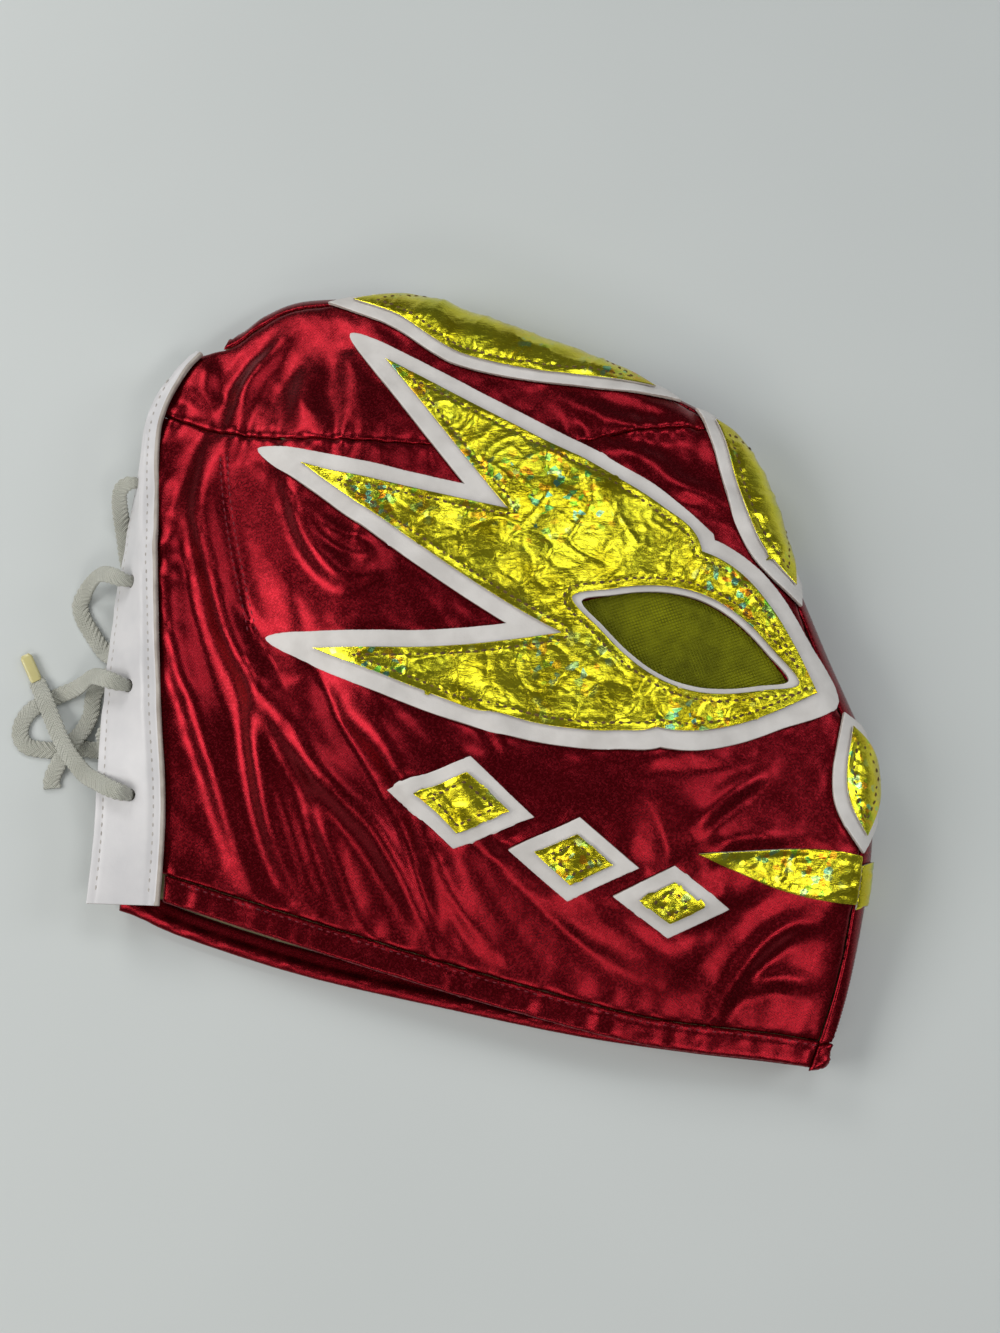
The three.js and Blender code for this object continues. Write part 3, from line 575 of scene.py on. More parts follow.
def grown(loop, distance):
    """A closed loop grown outwards with pointed corners"""
    loop = outwards(loop)
    back = unit(loop - np.roll(loop, 1, 0))
    right = np.column_stack([back[:, 1], -back[:, 0]])
    middle = unit(right + np.roll(right, -1, 0))
    reach = np.minimum(LONGEST_CORNER, 1 / np.maximum((middle * right).sum(1), 1e-3))
    return loop + middle * (distance * reach)[:, None]


def moved(line, distance):
    """An open line moved to its left"""
    return line + distance * leftward(unit(np.gradient(line, axis=0)))


def leaf(row, grow=0.0):
    """A pointed leaf along a bent spine"""
    start, via, end = (np.array(point) * MASK_SIZE for point in row[:3])
    half, belly = row[3:]
    share = np.linspace(0, 1, 9)[:, None]
    spine = start * (1 - share) ** 2 + 2 * via * share * (1 - share) + end * share ** 2
    step = (via - start) * (1 - share) + (end - via) * share
    across = leftward(unit(step))
    width = half * MASK_SIZE[1] * np.sin(math.pi * share ** (math.log(0.5) / math.log(belly)))
    left = spine + across * width
    right = (spine - across * width)[-2:0:-1]
    loop = np.vstack([left, right])
    if grow:
        turned = area(loop) < 0
        loop = grown(loop, grow)
        loop = loop[::-1] if turned else loop
        loop = np.roll(loop, 1, 0) if turned else loop
    rounded = [spline(loop[:9], 80), spline(np.vstack([loop[8:], loop[:1]]), 80)]
    return np.vstack([side[:-1] for side in rounded])


def lozenge(row, grow=0.0):
    centre, long, short, turn = row
    corners = np.array([[long, 0], [0, short], [-long, 0], [0, -short]]) * MASK_SIZE[0] / 2
    spin = np.array([[math.cos(turn), math.sin(turn)], [-math.sin(turn), math.cos(turn)]])
    return grown(corners @ spin + np.array(centre) * MASK_SIZE, grow)


def seam_leaf(row, grow=0.0):
    start, end, half = row
    longer = grow / (half * MASK_SIZE[1]) * (end - start) / 4
    share = np.linspace(0, 1, 60)
    turn = turn_at(mix(start - longer, end + longer, share))
    width = (half * MASK_SIZE[1] + grow) * np.sin(math.pi * share)
    return np.vstack([seam_points(turn, -width), seam_points(turn, width)[-2:0:-1]])


FAR = 600.0


def far_corner(x, y):
    return np.array([x * FAR, y * FAR])


def above(line):
    return np.vstack([line, far_corner(1, 1), far_corner(-1, 1)])


def below(line):
    return np.vstack([line, far_corner(1, -1), far_corner(-1, -1)])


def inside_back(slip):
    at = np.linspace(0, facing_length, 120)
    spot, out, _, _, lap = facing_frame(at)
    edge = spot + out * (lap - 2 * GAP + slip_at(at, slip))[:, None]
    onward = edge[-1] + (edge[-1] - edge[-2]) / np.linalg.norm(edge[-1] - edge[-2]) * FAR
    return np.vstack([[edge[0, 0], -FAR], edge, onward, far_corner(1, 1), far_corner(1, -1)])


all_turns = np.linspace(turn_at(-0.09), turn_at(1.06), 500)
inside_seam = np.vstack([POLE, seam_points(all_turns, -GAP / 2)])
inside_fold = np.vstack([POLE, from_pole(all_turns, fold_reach(all_turns))])


# Meshes
SHARP_TURN = math.radians(48)
RIM_STEP = 0.25
RIM_ROWS = (0.25, 0.6, 1.0, 2.2)
FINE_PITCH = 1.2
BEAD_STEPS = 6
BEAD_SIDES = 6
BEAD_SPAN = 0.4


def normals(points, faces):
    corners = points[faces]
    square = np.cross(corners[:, 1] - corners[:, 0], corners[:, 2] - corners[:, 0])
    total = np.zeros_like(points)
    for axis in range(3):
        total[:, axis] = np.bincount(faces.ravel(), np.repeat(square[:, axis], 3), len(points))
    return total / np.maximum(np.linalg.norm(total, axis=1), 1e-12)[:, None]


def build(name, points, faces, slots, materials, plan):
    """A smooth mesh object with its material numbers, and the plan as its UV map"""
    mesh = bpy.data.meshes.new(name)
    mesh.vertices.add(len(points))
    mesh.loops.add(faces.size)
    mesh.polygons.add(len(faces))
    mesh.vertices.foreach_set("co", to_frame(points).astype(np.float32).ravel())
    mesh.loops.foreach_set("vertex_index", faces.astype(np.int32).ravel())
    mesh.polygons.foreach_set("loop_start", np.arange(0, faces.size, 3, dtype=np.int32))
    mesh.polygons.foreach_set("material_index", slots.astype(np.int32))
    layer = mesh.uv_layers.new(name="plan")
    layer.data.foreach_set("uv", (plan[faces.ravel()] * MM).astype(np.float32).ravel())
    for material in materials:
        mesh.materials.append(material)
    mesh.update(calc_edges=True)
    mesh.validate()
    mesh.shade_smooth()
    mesh.set_sharp_from_angle(angle=SHARP_TURN)
    made = bpy.data.objects.new(name, mesh)
    bpy.context.scene.collection.objects.link(made)
    return made


def dress(piece, slot, *nodes):
    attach(piece, "root")
    if nodes:
        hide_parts(*nodes)
    return piece


def distances(points, tree):
    return np.array([tree.find((x, y, 0))[2] for x, y in points])


def tree_round(loops):
    rim = np.vstack([evenly(loop, RIM_STEP) for loop in loops])
    tree = kdtree.KDTree(len(rim))
    for index, (x, y) in enumerate(rim):
        tree.insert((x, y, 0), index)
    tree.balance()
    return tree


FOLD_ANGLES = np.radians([0, 6, 13, 20, 28, 36, 45, 54])


def fold_rows(pitch):
    """Points close together across the fold, where the cloth turns under"""
    count = round((all_turns[0] - all_turns[-1]) * fold_reaches.mean() / pitch)
    turn = np.linspace(all_turns[-1], all_turns[0], count)
    fold, slant = fold_reach(turn), fold_slant(turn)
    depths = [-FOLD_RADIUS * (1 - math.cos(angle)) for angle in FOLD_ANGLES]
    depths += [UNDER_RADIUS * (1 - math.cos(angle)) for angle in FOLD_ANGLES[1:]]
    return np.vstack([from_pole(turn, fold + depth / slant) for depth in depths])


def inner_points(loops, tree, pitch, edge, on_hood):
    """Points for a piece's triangles: rows along its rim, rows across the fold, and a field between them"""
    whole = np.vstack(loops)
    low, high = whole.min(0), whole.max(0)
    found = []
    for share in RIM_ROWS:
        row = np.vstack([leftwards(loop, share * edge) for loop in loops])
        row = row[inside_all(row, loops)]
        found.append(row[distances(row, tree) > 0.93 * share * edge])
    margin = RIM_ROWS[-1] * edge + 0.4 * min(pitch, FINE_PITCH)
    xs = np.arange(low[0], high[0], pitch)
    ys = np.arange(low[1], high[1], pitch * 0.866)
    grid = np.stack(np.meshgrid(xs, ys), -1)
    grid[1::2, :, 0] += pitch / 2
    grid = grid.reshape(-1, 2)
    if on_hood:
        turn, reach = polar(grid)
        depth = (fold_reach(turn) - reach) * fold_slant(turn)
        upper = FOLD_RADIUS * (1 - math.cos(FOLD_ANGLES[-1])) + pitch / 2
        lower = UNDER_RADIUS * (1 - math.cos(FOLD_ANGLES[-1])) + pitch / 2
        grid = np.vstack([grid[(depth > upper) | (depth < -lower)], fold_rows(min(pitch, FINE_PITCH))])
    grid = grid[((grid > low) & (grid < high)).all(1)]
    grid = grid[inside_all(grid, loops)]
    found.append(grid[distances(grid, tree) > margin])
    return np.vstack(found)


def sheet(name, loops, lift, outer, inner, pitch, materials, edge=0.45, relief=None, follow=0, on_hood=True,
          trimmed=None):
    """A sheet between two offsets from a lifted surface, with rounded edges. Its materials are those of
    its outer side, its inner side and its cut edge. Where trimmed is true the outer side is like the edge."""
    loops = [evenly(loop, 0.7 * pitch) for loop in loops]
    tree = tree_round(loops)
    spots = np.vstack(loops + [inner_points(loops, tree, pitch, edge, on_hood)])
    plan, faces = fill(spots, loops, lambda middle: inside_all(middle, loops))
    used, faces = np.unique(faces, return_inverse=True)
    plan, faces = plan[used], faces.reshape(-1, 3)
    base = lift(plan)
    square = normals(base, faces)
    rim = distances(plan, tree)
    drop = edge - np.sqrt(edge ** 2 - (edge - np.minimum(rim, edge)) ** 2)
    height = relief(plan, rim) if relief else np.zeros(len(plan))
    top = base + square * (outer + height - drop)[:, None]
    bottom = base + square * (inner + follow * height + np.minimum(drop, 0.4 * (outer - inner)))[:, None]
    count = len(plan)
    walls = []
    for loop in rims(faces):
        start = np.array(loop)
        end = np.roll(start, -1)
        walls.append(np.column_stack([start, start + count, end + count]))
        walls.append(np.column_stack([start, end + count, end]))
    walls = np.vstack(walls)
    all_faces = np.vstack([faces, faces[:, ::-1] + count, walls])
    slots = np.repeat([0, 1, 2], [len(faces), len(faces), len(walls)])
    if trimmed is not None:
        slots[:len(faces)] = 2 * trimmed(plan[faces].mean(1))
    slots = np.minimum(slots, len(materials) - 1)
    return build(name, np.vstack([top, bottom]), all_faces, slots, materials, np.vstack([plan, plan]))


def row_inside(loop, distance):
    """The closed row of points that lies some way inside a loop"""
    fine = evenly(loop, 0.5)
    row = leftwards(fine, distance)
    tree = tree_round([loop])
    return row[distances(row, tree) > 0.985 * distance]


def beads(name, rows, lift, height, pitch, size, material, closed=True):
    """Stitches along rows: small threads, each (long, wide, high), that dip in at both ends.
    height(points) is how far the sewn face lies above the lifted surface."""
    long, wide, high = size
    middles, ways = [], []
    for row in rows:
        line = np.vstack([row, row[:1]]) if closed else row
        total = lengths(line)[-1]
        at = np.arange(pitch / 2, total - pitch / 2, pitch)
        if not len(at):
            continue
        middle = places(line, at)
        way = places(line, np.minimum(at + 0.3, total)) - places(line, np.maximum(at - 0.3, 0))
        middles.append(middle)
        ways.append(way / np.maximum(np.linalg.norm(way, axis=1), 1e-9)[:, None])
    middle, way = np.vstack(middles), np.vstack(ways)
    side = leftward(way)
    centre = lift(middle)
    forward = unit(lift(middle + BEAD_SPAN * way) - lift(middle - BEAD_SPAN * way))
    across = lift(middle + BEAD_SPAN * side) - lift(middle - BEAD_SPAN * side)
    square = unit(np.cross(forward, across))
    across = np.cross(square, forward)
    count = len(middle)
    share = np.linspace(-1, 1, BEAD_STEPS + 1)
    angle = np.linspace(0, 2 * math.pi, BEAD_SIDES, endpoint=False)
    u, a = (grid.ravel() for grid in np.meshgrid(share, angle, indexing="ij"))
    thick = np.sqrt(np.maximum(1 - 0.9 * u ** 2, 0.04))
    local = np.column_stack([u * long / 2, np.cos(a) * thick * wide / 2,
                             np.sin(a) * thick * high / 2 - 0.35 * high * u ** 2])
    points = (centre + square * height(middle)[:, None])[:, None] + local[:, 0, None] * forward[:, None] \
        + local[:, 1, None] * across[:, None] + local[:, 2, None] * square[:, None]
    faces = []
    for step in range(BEAD_STEPS):
        for k in range(BEAD_SIDES):
            near, far = (step * BEAD_SIDES + number % BEAD_SIDES for number in (k, k + 1))
            faces += [(near, near + BEAD_SIDES, far + BEAD_SIDES), (near, far + BEAD_SIDES, far)]
    last = BEAD_STEPS * BEAD_SIDES
    for k in range(1, BEAD_SIDES - 1):
        faces += [(0, k, k + 1), (last, last + k + 1, last + k)]
    faces = np.array(faces)[:, ::-1]
    every = (faces[None] + (np.arange(count) * len(u))[:, None, None]).reshape(-1, 3)
    plan = np.repeat(middle, len(u), axis=0)
    return build(name, points.reshape(-1, 3), every, np.zeros(len(every)), [material], plan)


# Materials
class Shader:
    """A material's nodes, added one by one"""

    def __init__(self, name, **constants):
        self.material = bpy.data.materials.new(name)
        self.material.use_nodes = True
        self.tree = self.material.node_tree
        self.surface = next(node for node in self.tree.nodes if node.type == "BSDF_PRINCIPLED")
        for label, value in constants.items():
            self.surface.inputs[label.replace("_", " ")].default_value = value

    def set(self, socket, value):
        if isinstance(value, bpy.types.NodeSocket):
            self.tree.links.new(value, socket)
        elif isinstance(value, tuple) and len(value) < len(socket.default_value):
            socket.default_value = (*value, 1)
        else:
            socket.default_value = value

    def add(self, kind, inputs=None):
        node = self.tree.nodes.new("ShaderNode" + kind)
        for label, value in (inputs or {}).items():
            self.set(node.inputs[label], value)
        self.last = node
        return node.outputs[0]

    def place(self):
        """The place in the frame and the place in the plan"""
        self.add("TexCoord")
        return self.last.outputs["Object"], self.last.outputs["UV"]

    def noise(self, where, scale, detail=3.0, roughness=0.55, distortion=0.0):
        return self.add("TexNoise", {"Vector": where, "Scale": scale, "Detail": detail,
                                     "Roughness": roughness, "Distortion": distortion})

    def ramp(self, value, stops):
        node = self.tree.nodes.new("ShaderNodeValToRGB")
        self.tree.links.new(value, node.inputs["Fac"])
        ramp = node.color_ramp
        while len(ramp.elements) < len(stops):
            ramp.elements.new(1.0)
        for element, (at, colour) in zip(ramp.elements, stops):
            element.position = at
            element.color = (*colour, 1)
        return node.outputs["Color"]

    def mix(self, share, first, second):
        node = self.tree.nodes.new("ShaderNodeMix")
        node.data_type = "RGBA"
        for number, value in ((0, share), (6, first), (7, second)):
            self.set(node.inputs[number], value)
        return node.outputs[2]

    def math(self, kind, first, second=0.0):
        node = self.tree.nodes.new("ShaderNodeMath")
        node.operation = kind
        for socket, value in zip(node.inputs, (first, second)):
            self.set(socket, value)
        return node.outputs[0]

    def bump(self, height, strength, distance, below=None):
        inputs = {"Height": height, "Strength": strength, "Distance": distance}
        if below is not None:
            inputs["Normal"] = below
        return self.add("Bump", inputs)

    def feed(self, **sockets):
        for label, value in sockets.items():
            self.tree.links.new(value, self.surface.inputs[label.replace("_", " ")])
        return self.material


def weave(shader, where, pitch):
    """Threads across each other: a height from 0 to 1"""
    turns = 2 * math.pi / pitch
    parts = shader.tree.nodes.new("ShaderNodeSeparateXYZ")
    shader.tree.links.new(where, parts.inputs[0])
    waves = [shader.math("SINE", shader.math("MULTIPLY", parts.outputs[axis], turns)) for axis in (0, 1)]
    return shader.math("ADD", shader.math("MULTIPLY", shader.math("MULTIPLY", *waves), 0.5), 0.5)


def red_cloth():
    shader = Shader("red_lame", Metallic=0.9, Specular_IOR_Level=0.5)
    spot, plan = shader.place()
    turned = shader.add("Mapping", {"Vector": plan, "Rotation": (0, 0, 0.3)})
    threads = weave(shader, turned, 0.00075)
    # Small random cells of the weave: the colour below paints glints in them, and they also make the cloth a
    # little rougher
    shader.add("TexVoronoi", {"Vector": plan, "Scale": 2000.0})
    glint_cells = shader.add("SeparateColor", {"Color": shader.last.outputs["Color"]})
    mottle = shader.noise(spot, 45.0, 4.0)
    base = shader.ramp(mottle, [(0.3, (0.142, 0.001, 0.0045)), (0.7, (0.195, 0.002, 0.0075))])
    # Painted glints: the base colour is mixed towards a brighter red in those cells
    lit = shader.mix(shader.math("POWER", glint_cells, 3.0), base, (0.29, 0.0105, 0.019))
    rough = shader.math("ADD", shader.math("MULTIPLY", glint_cells, 0.1), 0.21)
    low = shader.bump(mottle, 0.1, 0.0004)
    fine = shader.bump(threads, 0.25, 0.0001, low)
    return shader.feed(Base_Color=lit, Roughness=rough, Normal=fine)


def gold_foil():
    shader = Shader("gold_foil", Metallic=1.0)
    spot, _ = shader.place()
    warp = shader.noise(spot, 60.0, 3.0)
    shader.add("Mapping", {"Vector": spot, "Rotation": (0, 0, 0.6), "Scale": (1.0, 2.4, 1.0)})
    grain = shader.noise(shader.last.outputs[0], 210.0, 6.0, 0.62, 1.6)
    shader.add("TexVoronoi", {"Vector": spot, "Scale": 420.0})
    shader.add("SeparateColor", {"Color": shader.last.outputs["Color"]})
    chosen, hue, _ = shader.last.outputs
    tones = [(0.3, (0.6, 0.5, 0.012)), (0.5, (0.78, 0.7, 0.03)), (0.72, (0.64, 0.62, 0.03))]
    base = shader.ramp(warp, tones)
    glints = [(0.1, (0.9, 0.25, 0.02)), (0.35, (0.95, 0.5, 0.02)), (0.6, (0.15, 0.75, 0.05)),
              (0.9, (0.1, 0.5, 0.4))]
    hues = shader.ramp(hue, glints)
    patches = shader.ramp(shader.noise(spot, 24.0, 2.0), [(0.48, (0, 0, 0)), (0.62, (1, 1, 1))])
    picked = shader.ramp(chosen, [(0.62, (0, 0, 0)), (0.72, (1, 1, 1))])
    colour = shader.mix(shader.math("MULTIPLY", shader.math("MULTIPLY", patches, picked), 0.8), base, hues)
    rough = shader.ramp(grain, [(0.3, (0.17,) * 3), (0.7, (0.3,) * 3)])
    fine = shader.bump(grain, 0.32, 0.0005)
    return shader.feed(Base_Color=colour, Roughness=rough, Normal=fine)


def grained(name, colour, dark, roughness, scale, depth, **constants):
    """A plain material with a mottled colour and a fine grain"""
    shader = Shader(name, Roughness=roughness, **constants)
    spot, _ = shader.place()
    mottle = shader.noise(spot, scale / 12, 3.0)
    grain = shader.noise(spot, scale, 4.0, 0.65)
    tone = shader.ramp(mottle, [(0.32, dark), (0.62, colour)])
    return shader.feed(Base_Color=tone, Normal=shader.bump(grain, 0.4, depth))


def woven(name, colour, dark, roughness, pitch, depth):
    shader = Shader(name, Roughness=roughness, Sheen_Weight=0.2)
    spot, plan = shader.place()
    threads = weave(shader, plan, pitch)
    mottle = shader.noise(spot, 90.0, 4.0)
    tone = shader.ramp(mottle, [(0.3, dark), (0.7, colour)])
    shade = shader.mix(shader.math("MULTIPLY", threads, 0.5), tone, dark)
    return shader.feed(Base_Color=shade, Normal=shader.bump(threads, 0.6, depth))


red = red_cloth()
gold = gold_foil()
lining = woven("olive_lining", (0.3, 0.27, 0.12), (0.16, 0.14, 0.06), 0.85, 0.0009, 0.0002)
white = grained("white_vinyl", (0.72, 0.69, 0.66), (0.6, 0.57, 0.54), 0.5, 900.0, 0.0002)
cut_white = grained("cut_vinyl", (0.5, 0.45, 0.4), (0.36, 0.31, 0.27), 0.8, 1500.0, 0.0003)
facing_white = grained("facing_vinyl", (0.68, 0.665, 0.67), (0.61, 0.6, 0.61), 0.38, 700.0, 0.00012)
NET_SHINE = 0.1
net_backing = grained("net_backing", (0.38, 0.385, 0.01), (0.15, 0.155, 0.006), 0.6, 400.0, 0.0001,
                      Specular_IOR_Level=NET_SHINE)
net_thread = grained("net_thread", (0.25, 0.26, 0.012), (0.15, 0.155, 0.008), 0.5, 2500.0, 0.0001,
                     Specular_IOR_Level=NET_SHINE)
# Stitches round the foil: real thread, whose dark brown also paints the shade of the stitch holes
hole_shade_thread = grained("thread_with_painted_hole_shade", (0.13, 0.07, 0.012), (0.07, 0.035, 0.008), 0.7, 2500.0, 0.0001)
red_thread = grained("red_thread", (0.2, 0.004, 0.016), (0.1, 0.002, 0.01), 0.6, 2500.0, 0.0001)
pale_thread = grained("pale_thread", (0.5, 0.47, 0.43), (0.38, 0.35, 0.32), 0.7, 2500.0, 0.0001)
aglet_plastic = grained("aglet_plastic", (0.62, 0.56, 0.25), (0.45, 0.4, 0.18), 0.25, 600.0, 0.0001)

# Laces: flat woven ribbons along these points of the plan
CURVE_STEPS = 12
LACE_WIDTH = 6.4
LACE_THICKNESS = 1.6
LACE_DROP = 0.5
BRAID_PITCH = 2.4
BRAID_HEIGHT = 0.55
RIBBON_STEP = 0.4
RIBBON_SIDES = 28
WIDTH_TURN = 5.5
GATHER_REACH = 4.5
AGLET_WIDTH = 4.6
AGLET_THICKNESS = 2.6
AGLET_DROP = 0.2
AGLET_TAPER = (0.86, 1, 1, 0.7)
TAPER_LENGTH = 1.2
LACE_POINTS = [
    (0, 98.4, 20.8), (0.8, 98.5, 17), (0.5, 98.6, 12), (-1.5, 98.6, 8.8), (-2.3, 98.7, 5.6),
    (-2.3, 100.4, 2.7), (-2.1, 105, 1.5), (-1.8, 120, 1.4), (-2, 132.5, 1.4), (-2.9, 139.2, 1.7),
    (-3, 139.9, 5.8), (-2.6, 139.5, 10.5), (0.4, 139.4, 15.8), (1.5, 139.1, 19.6), (-1.8, 139, 24.4),
    (-4.6, 139.2, 28), (-8.5, 140.3, 29.4), (-12.8, 142, 26.8), (-16.8, 143.6, 21), (-20.5, 144, 14.5),
    (-24.5, 143.5, 8), (-29.5, 142.2, 3.2), (-35, 140.3, 1.5), (-41, 137.6, 1.4), (-46, 134.2, 1.4),
    (-49, 129.3, 1.4), (-49.2, 123.8, 1.4), (-46.3, 120.2, 1.4), (-41, 119, 1.4), (-35, 118.6, 1.4),
    (-29.4, 118.8, 1.4), (-24, 119.2, 1.4), (-19.2, 118.6, 1.8), (-15.8, 120, 6), (-14.6, 122.3, 10.6),
    (-11.8, 125.4, 13.8), (-8.3, 132, 13.6), (-8, 140, 13.4), (-7, 151, 13), (-4, 163, 13.2),
    (0, 171.5, 14.3), (2.4, 177, 16.9), (1.5, 179.7, 20), (-2.9, 179.9, 23.4), (-6.8, 180.2, 25.9),
    (-11, 181.8, 26), (-15.4, 183.6, 22), (-19.5, 184.3, 15.5), (-23.8, 183.5, 8.5), (-27.5, 181, 3),
    (-29.4, 176.8, 1.5), (-28, 171.5, 1.4), (-25.2, 166.8, 1.4), (-22, 162, 1.4), (-18.8, 157.8, 1.6),
    (-15.8, 155.6, 4.6), (-13.6, 156, 9.1), (-11, 157.6, 12.9), (-5, 163, 10), (1, 172, 9),
    (5, 184, 9), (6, 198, 10), (6.2, 210, 12), (5.6, 217, 14.6), (3, 220.8, 17.2), (-3.4, 221.1, 19.4),
    (-7.8, 220.9, 20.3), (-11.3, 219.3, 18.3), (-13.2, 216.5, 13.5), (-14, 213, 8), (-14, 208.8, 3.6),
    (-13.3, 203.6, 1.6), (-12, 196, 1.4), (-9.6, 187, 1.4), (-8.2, 177, 1.4), (-8.2, 167, 1.4),
    (-10, 157.5, 1.4), (-14.4, 150.3, 1.4), (-19.2, 145.6, 1.4), (-21.9, 140, 1.4), (-22.4, 133, 1.4),
    (-24.8, 126.6, 2.4), (-27.3, 122.4, 4.1), (-29.8, 118.2, 4.4), (-32.4, 114.6, 3.6),
    (-34.6, 111.1, 1.8), (-35.9, 107.5, 1.4), (-35.6, 103.8, 1.4),
]
TAIL_POINTS = [
    (-0.1, 98.4, 21.5), (-1, 98.4, 25.2), (-3.6, 99, 27.5), (-7.6, 100.6, 26.4), (-12, 103, 22.8),
    (-17, 105.6, 18.5), (-21, 108.5, 13.5), (-25, 112.5, 9.8), (-29, 117.5, 8.2), (-33, 124, 6.6),
    (-36.5, 131, 5.6), (-39.8, 138, 4.5), (-42.6, 142.7, 2.6), (-44.4, 146.1, 1.9),
]
AGLET_POINTS = [(-44.2, 145.7, 1.95), (-46.5, 150.3, 1.85), (-49.5, 156.3, 1.8)]
EYELET_POINTS = [
    (-0.1, 98.4, 21.2), (-1.8, 139, 24.3), (-2.9, 179.9, 23.2), (-3.4, 221.1, 19.1),
    (-2.3, 98.4, 6.8), (-3, 138.9, 6.3),
]


def curve_through(points):
    """A centripetal curve through points, as close rows of points"""
    points = np.array(points, float)
    ends = np.vstack([2 * points[0] - points[1], points, 2 * points[-1] - points[-2]])
    knots = np.append(0, np.cumsum(np.sqrt(np.linalg.norm(np.diff(ends, axis=0), axis=1))))
    found = []
    for first in range(len(points) - 1):
        knot = knots[first:first + 4]
        blended = ends[first:first + 4]
        at = np.linspace(knot[1], knot[2], CURVE_STEPS, endpoint=False)[:, None]
        for low, high in (((0, 1, 2), (1, 2, 3)), ((0, 1), (2, 3)), ((1,), (2,))):
            blended = [((knot[b] - at) * blended[n] + (at - knot[a]) * blended[n + 1]) / (knot[b] - knot[a])
                       for n, (a, b) in enumerate(zip(low, high))]
        found.append(blended[0])
    return np.vstack(found + [points[-1:]])


def smooth(values, reach):
    """Each row averaged with its neighbours"""
    shares = np.hanning(2 * reach + 3)[1:-1]
    padded = np.pad(values, ((reach, reach), (0, 0)), mode="edge")
    columns = [np.convolve(column, shares / shares.sum(), mode="valid") for column in padded.T]
    return np.column_stack(columns)


def ribbon(name, points, width, thickness, material, drop, taper=None, braid=0.0):
    """A flat band along a curve, its width level, gathered narrower where it passes an eyelet.
    A braid is the height of the chevrons on it."""
    fine = curve_through(points)
    total = lengths(fine)[-1]
    line = places(fine, np.linspace(0, total, round(total / RIBBON_STEP) + 1))
    line[:, 2] = np.maximum(line[:, 2] - drop, 0.55 * thickness)
    way = unit(np.gradient(line, axis=0))
    across = np.cross([0, 0, 1.0], way)
    steep = np.linalg.norm(across, axis=1)
    level = np.flatnonzero(steep > 0.25)
    across = across[level[np.abs(np.arange(len(line))[:, None] - level).argmin(1)]]
    for k in range(1, len(across)):
        if across[k] @ across[k - 1] < -0.2 * np.linalg.norm(across[k]) * np.linalg.norm(across[k - 1]):
            across[k] *= -1
    across /= np.maximum(np.linalg.norm(across, axis=1), 1e-9)[:, None]
    across = smooth(across, round(WIDTH_TURN / RIBBON_STEP))
    across = unit(across - (across * way).sum(1)[:, None] * way)
    upward = np.cross(way, across)
    gather = np.zeros(len(line))
    for eyelet in EYELET_POINTS:
        distance = np.linalg.norm(line - eyelet, axis=1)
        gather = np.maximum(gather, bell(distance, GATHER_REACH))
    half = width / 2 * (1 - 0.4 * gather)
    high = thickness / 2 * (1 + 0.5 * gather)
    along = lengths(line)
    if taper:
        narrower = np.interp(along, [0, TAPER_LENGTH, total - TAPER_LENGTH, total], taper)
        half = half * narrower
        high = high * narrower
    angle = np.linspace(0, 2 * math.pi, RIBBON_SIDES, endpoint=False)
    out = np.sign(np.cos(angle)) * np.abs(np.cos(angle)) ** 0.75
    rise = np.sign(np.sin(angle)) * np.abs(np.sin(angle)) ** 0.6
    dent = 1 - 0.12 * (1 - out ** 2)
    strand = np.abs(np.sin(math.pi * (along[:, None] / BRAID_PITCH + 1.3 * np.abs(out))))
    lift = (high[:, None] + braid * (strand - 0.6)) * rise * dent
    wide = (half[:, None] + 0.8 * braid * (strand - 0.6)) * out
    rings = line[:, None] + wide[..., None] * across[:, None] + lift[..., None] * upward[:, None]
    rings[..., 2] = np.maximum(rings[..., 2], 0.05)
    index = np.arange(len(line) * RIBBON_SIDES).reshape(len(line), RIBBON_SIDES)
    start, onward = index[:-1], np.roll(index, -1, 1)[:-1]
    end, onward_end = index[1:], np.roll(index, -1, 1)[1:]
    faces = np.vstack([np.stack([start, onward, onward_end], -1).reshape(-1, 3),
                       np.stack([start, onward_end, end], -1).reshape(-1, 3)])
    first, last = index[0], index[-1]
    caps = [(first[0], first[side + 1], first[side]) for side in range(1, RIBBON_SIDES - 1)]
    caps += [(last[0], last[side], last[side + 1]) for side in range(1, RIBBON_SIDES - 1)]
    faces = np.vstack([faces, caps])
    around = np.append(0, np.cumsum(np.hypot(np.diff(out) * width / 2, np.diff(rise) * thickness / 2)))
    plan = np.stack(np.broadcast_arrays(along[:, None], around[None]), -1).reshape(-1, 2)
    made = build(name, rings.reshape(-1, 3), faces, np.zeros(len(faces)), [material], plan)
    return made, line


def lace_cotton():
    shader = Shader("lace_cotton", Roughness=0.85, Sheen_Weight=0.3)
    spot, plan = shader.place()
    threads = weave(shader, plan, 0.0009)
    fuzz = shader.noise(spot, 2600.0, 3.0)
    tone = shader.ramp(shader.noise(spot, 60.0, 3.0), [(0.3, (0.5, 0.5, 0.43)), (0.7, (0.62, 0.62, 0.55))])
    dark = shader.mix(shader.math("MULTIPLY", threads, 0.4), tone, (0.26, 0.27, 0.21))
    low = shader.bump(fuzz, 0.3, 0.00015)
    return shader.feed(Base_Color=dark, Normal=shader.bump(threads, 0.8, 0.0004, low))


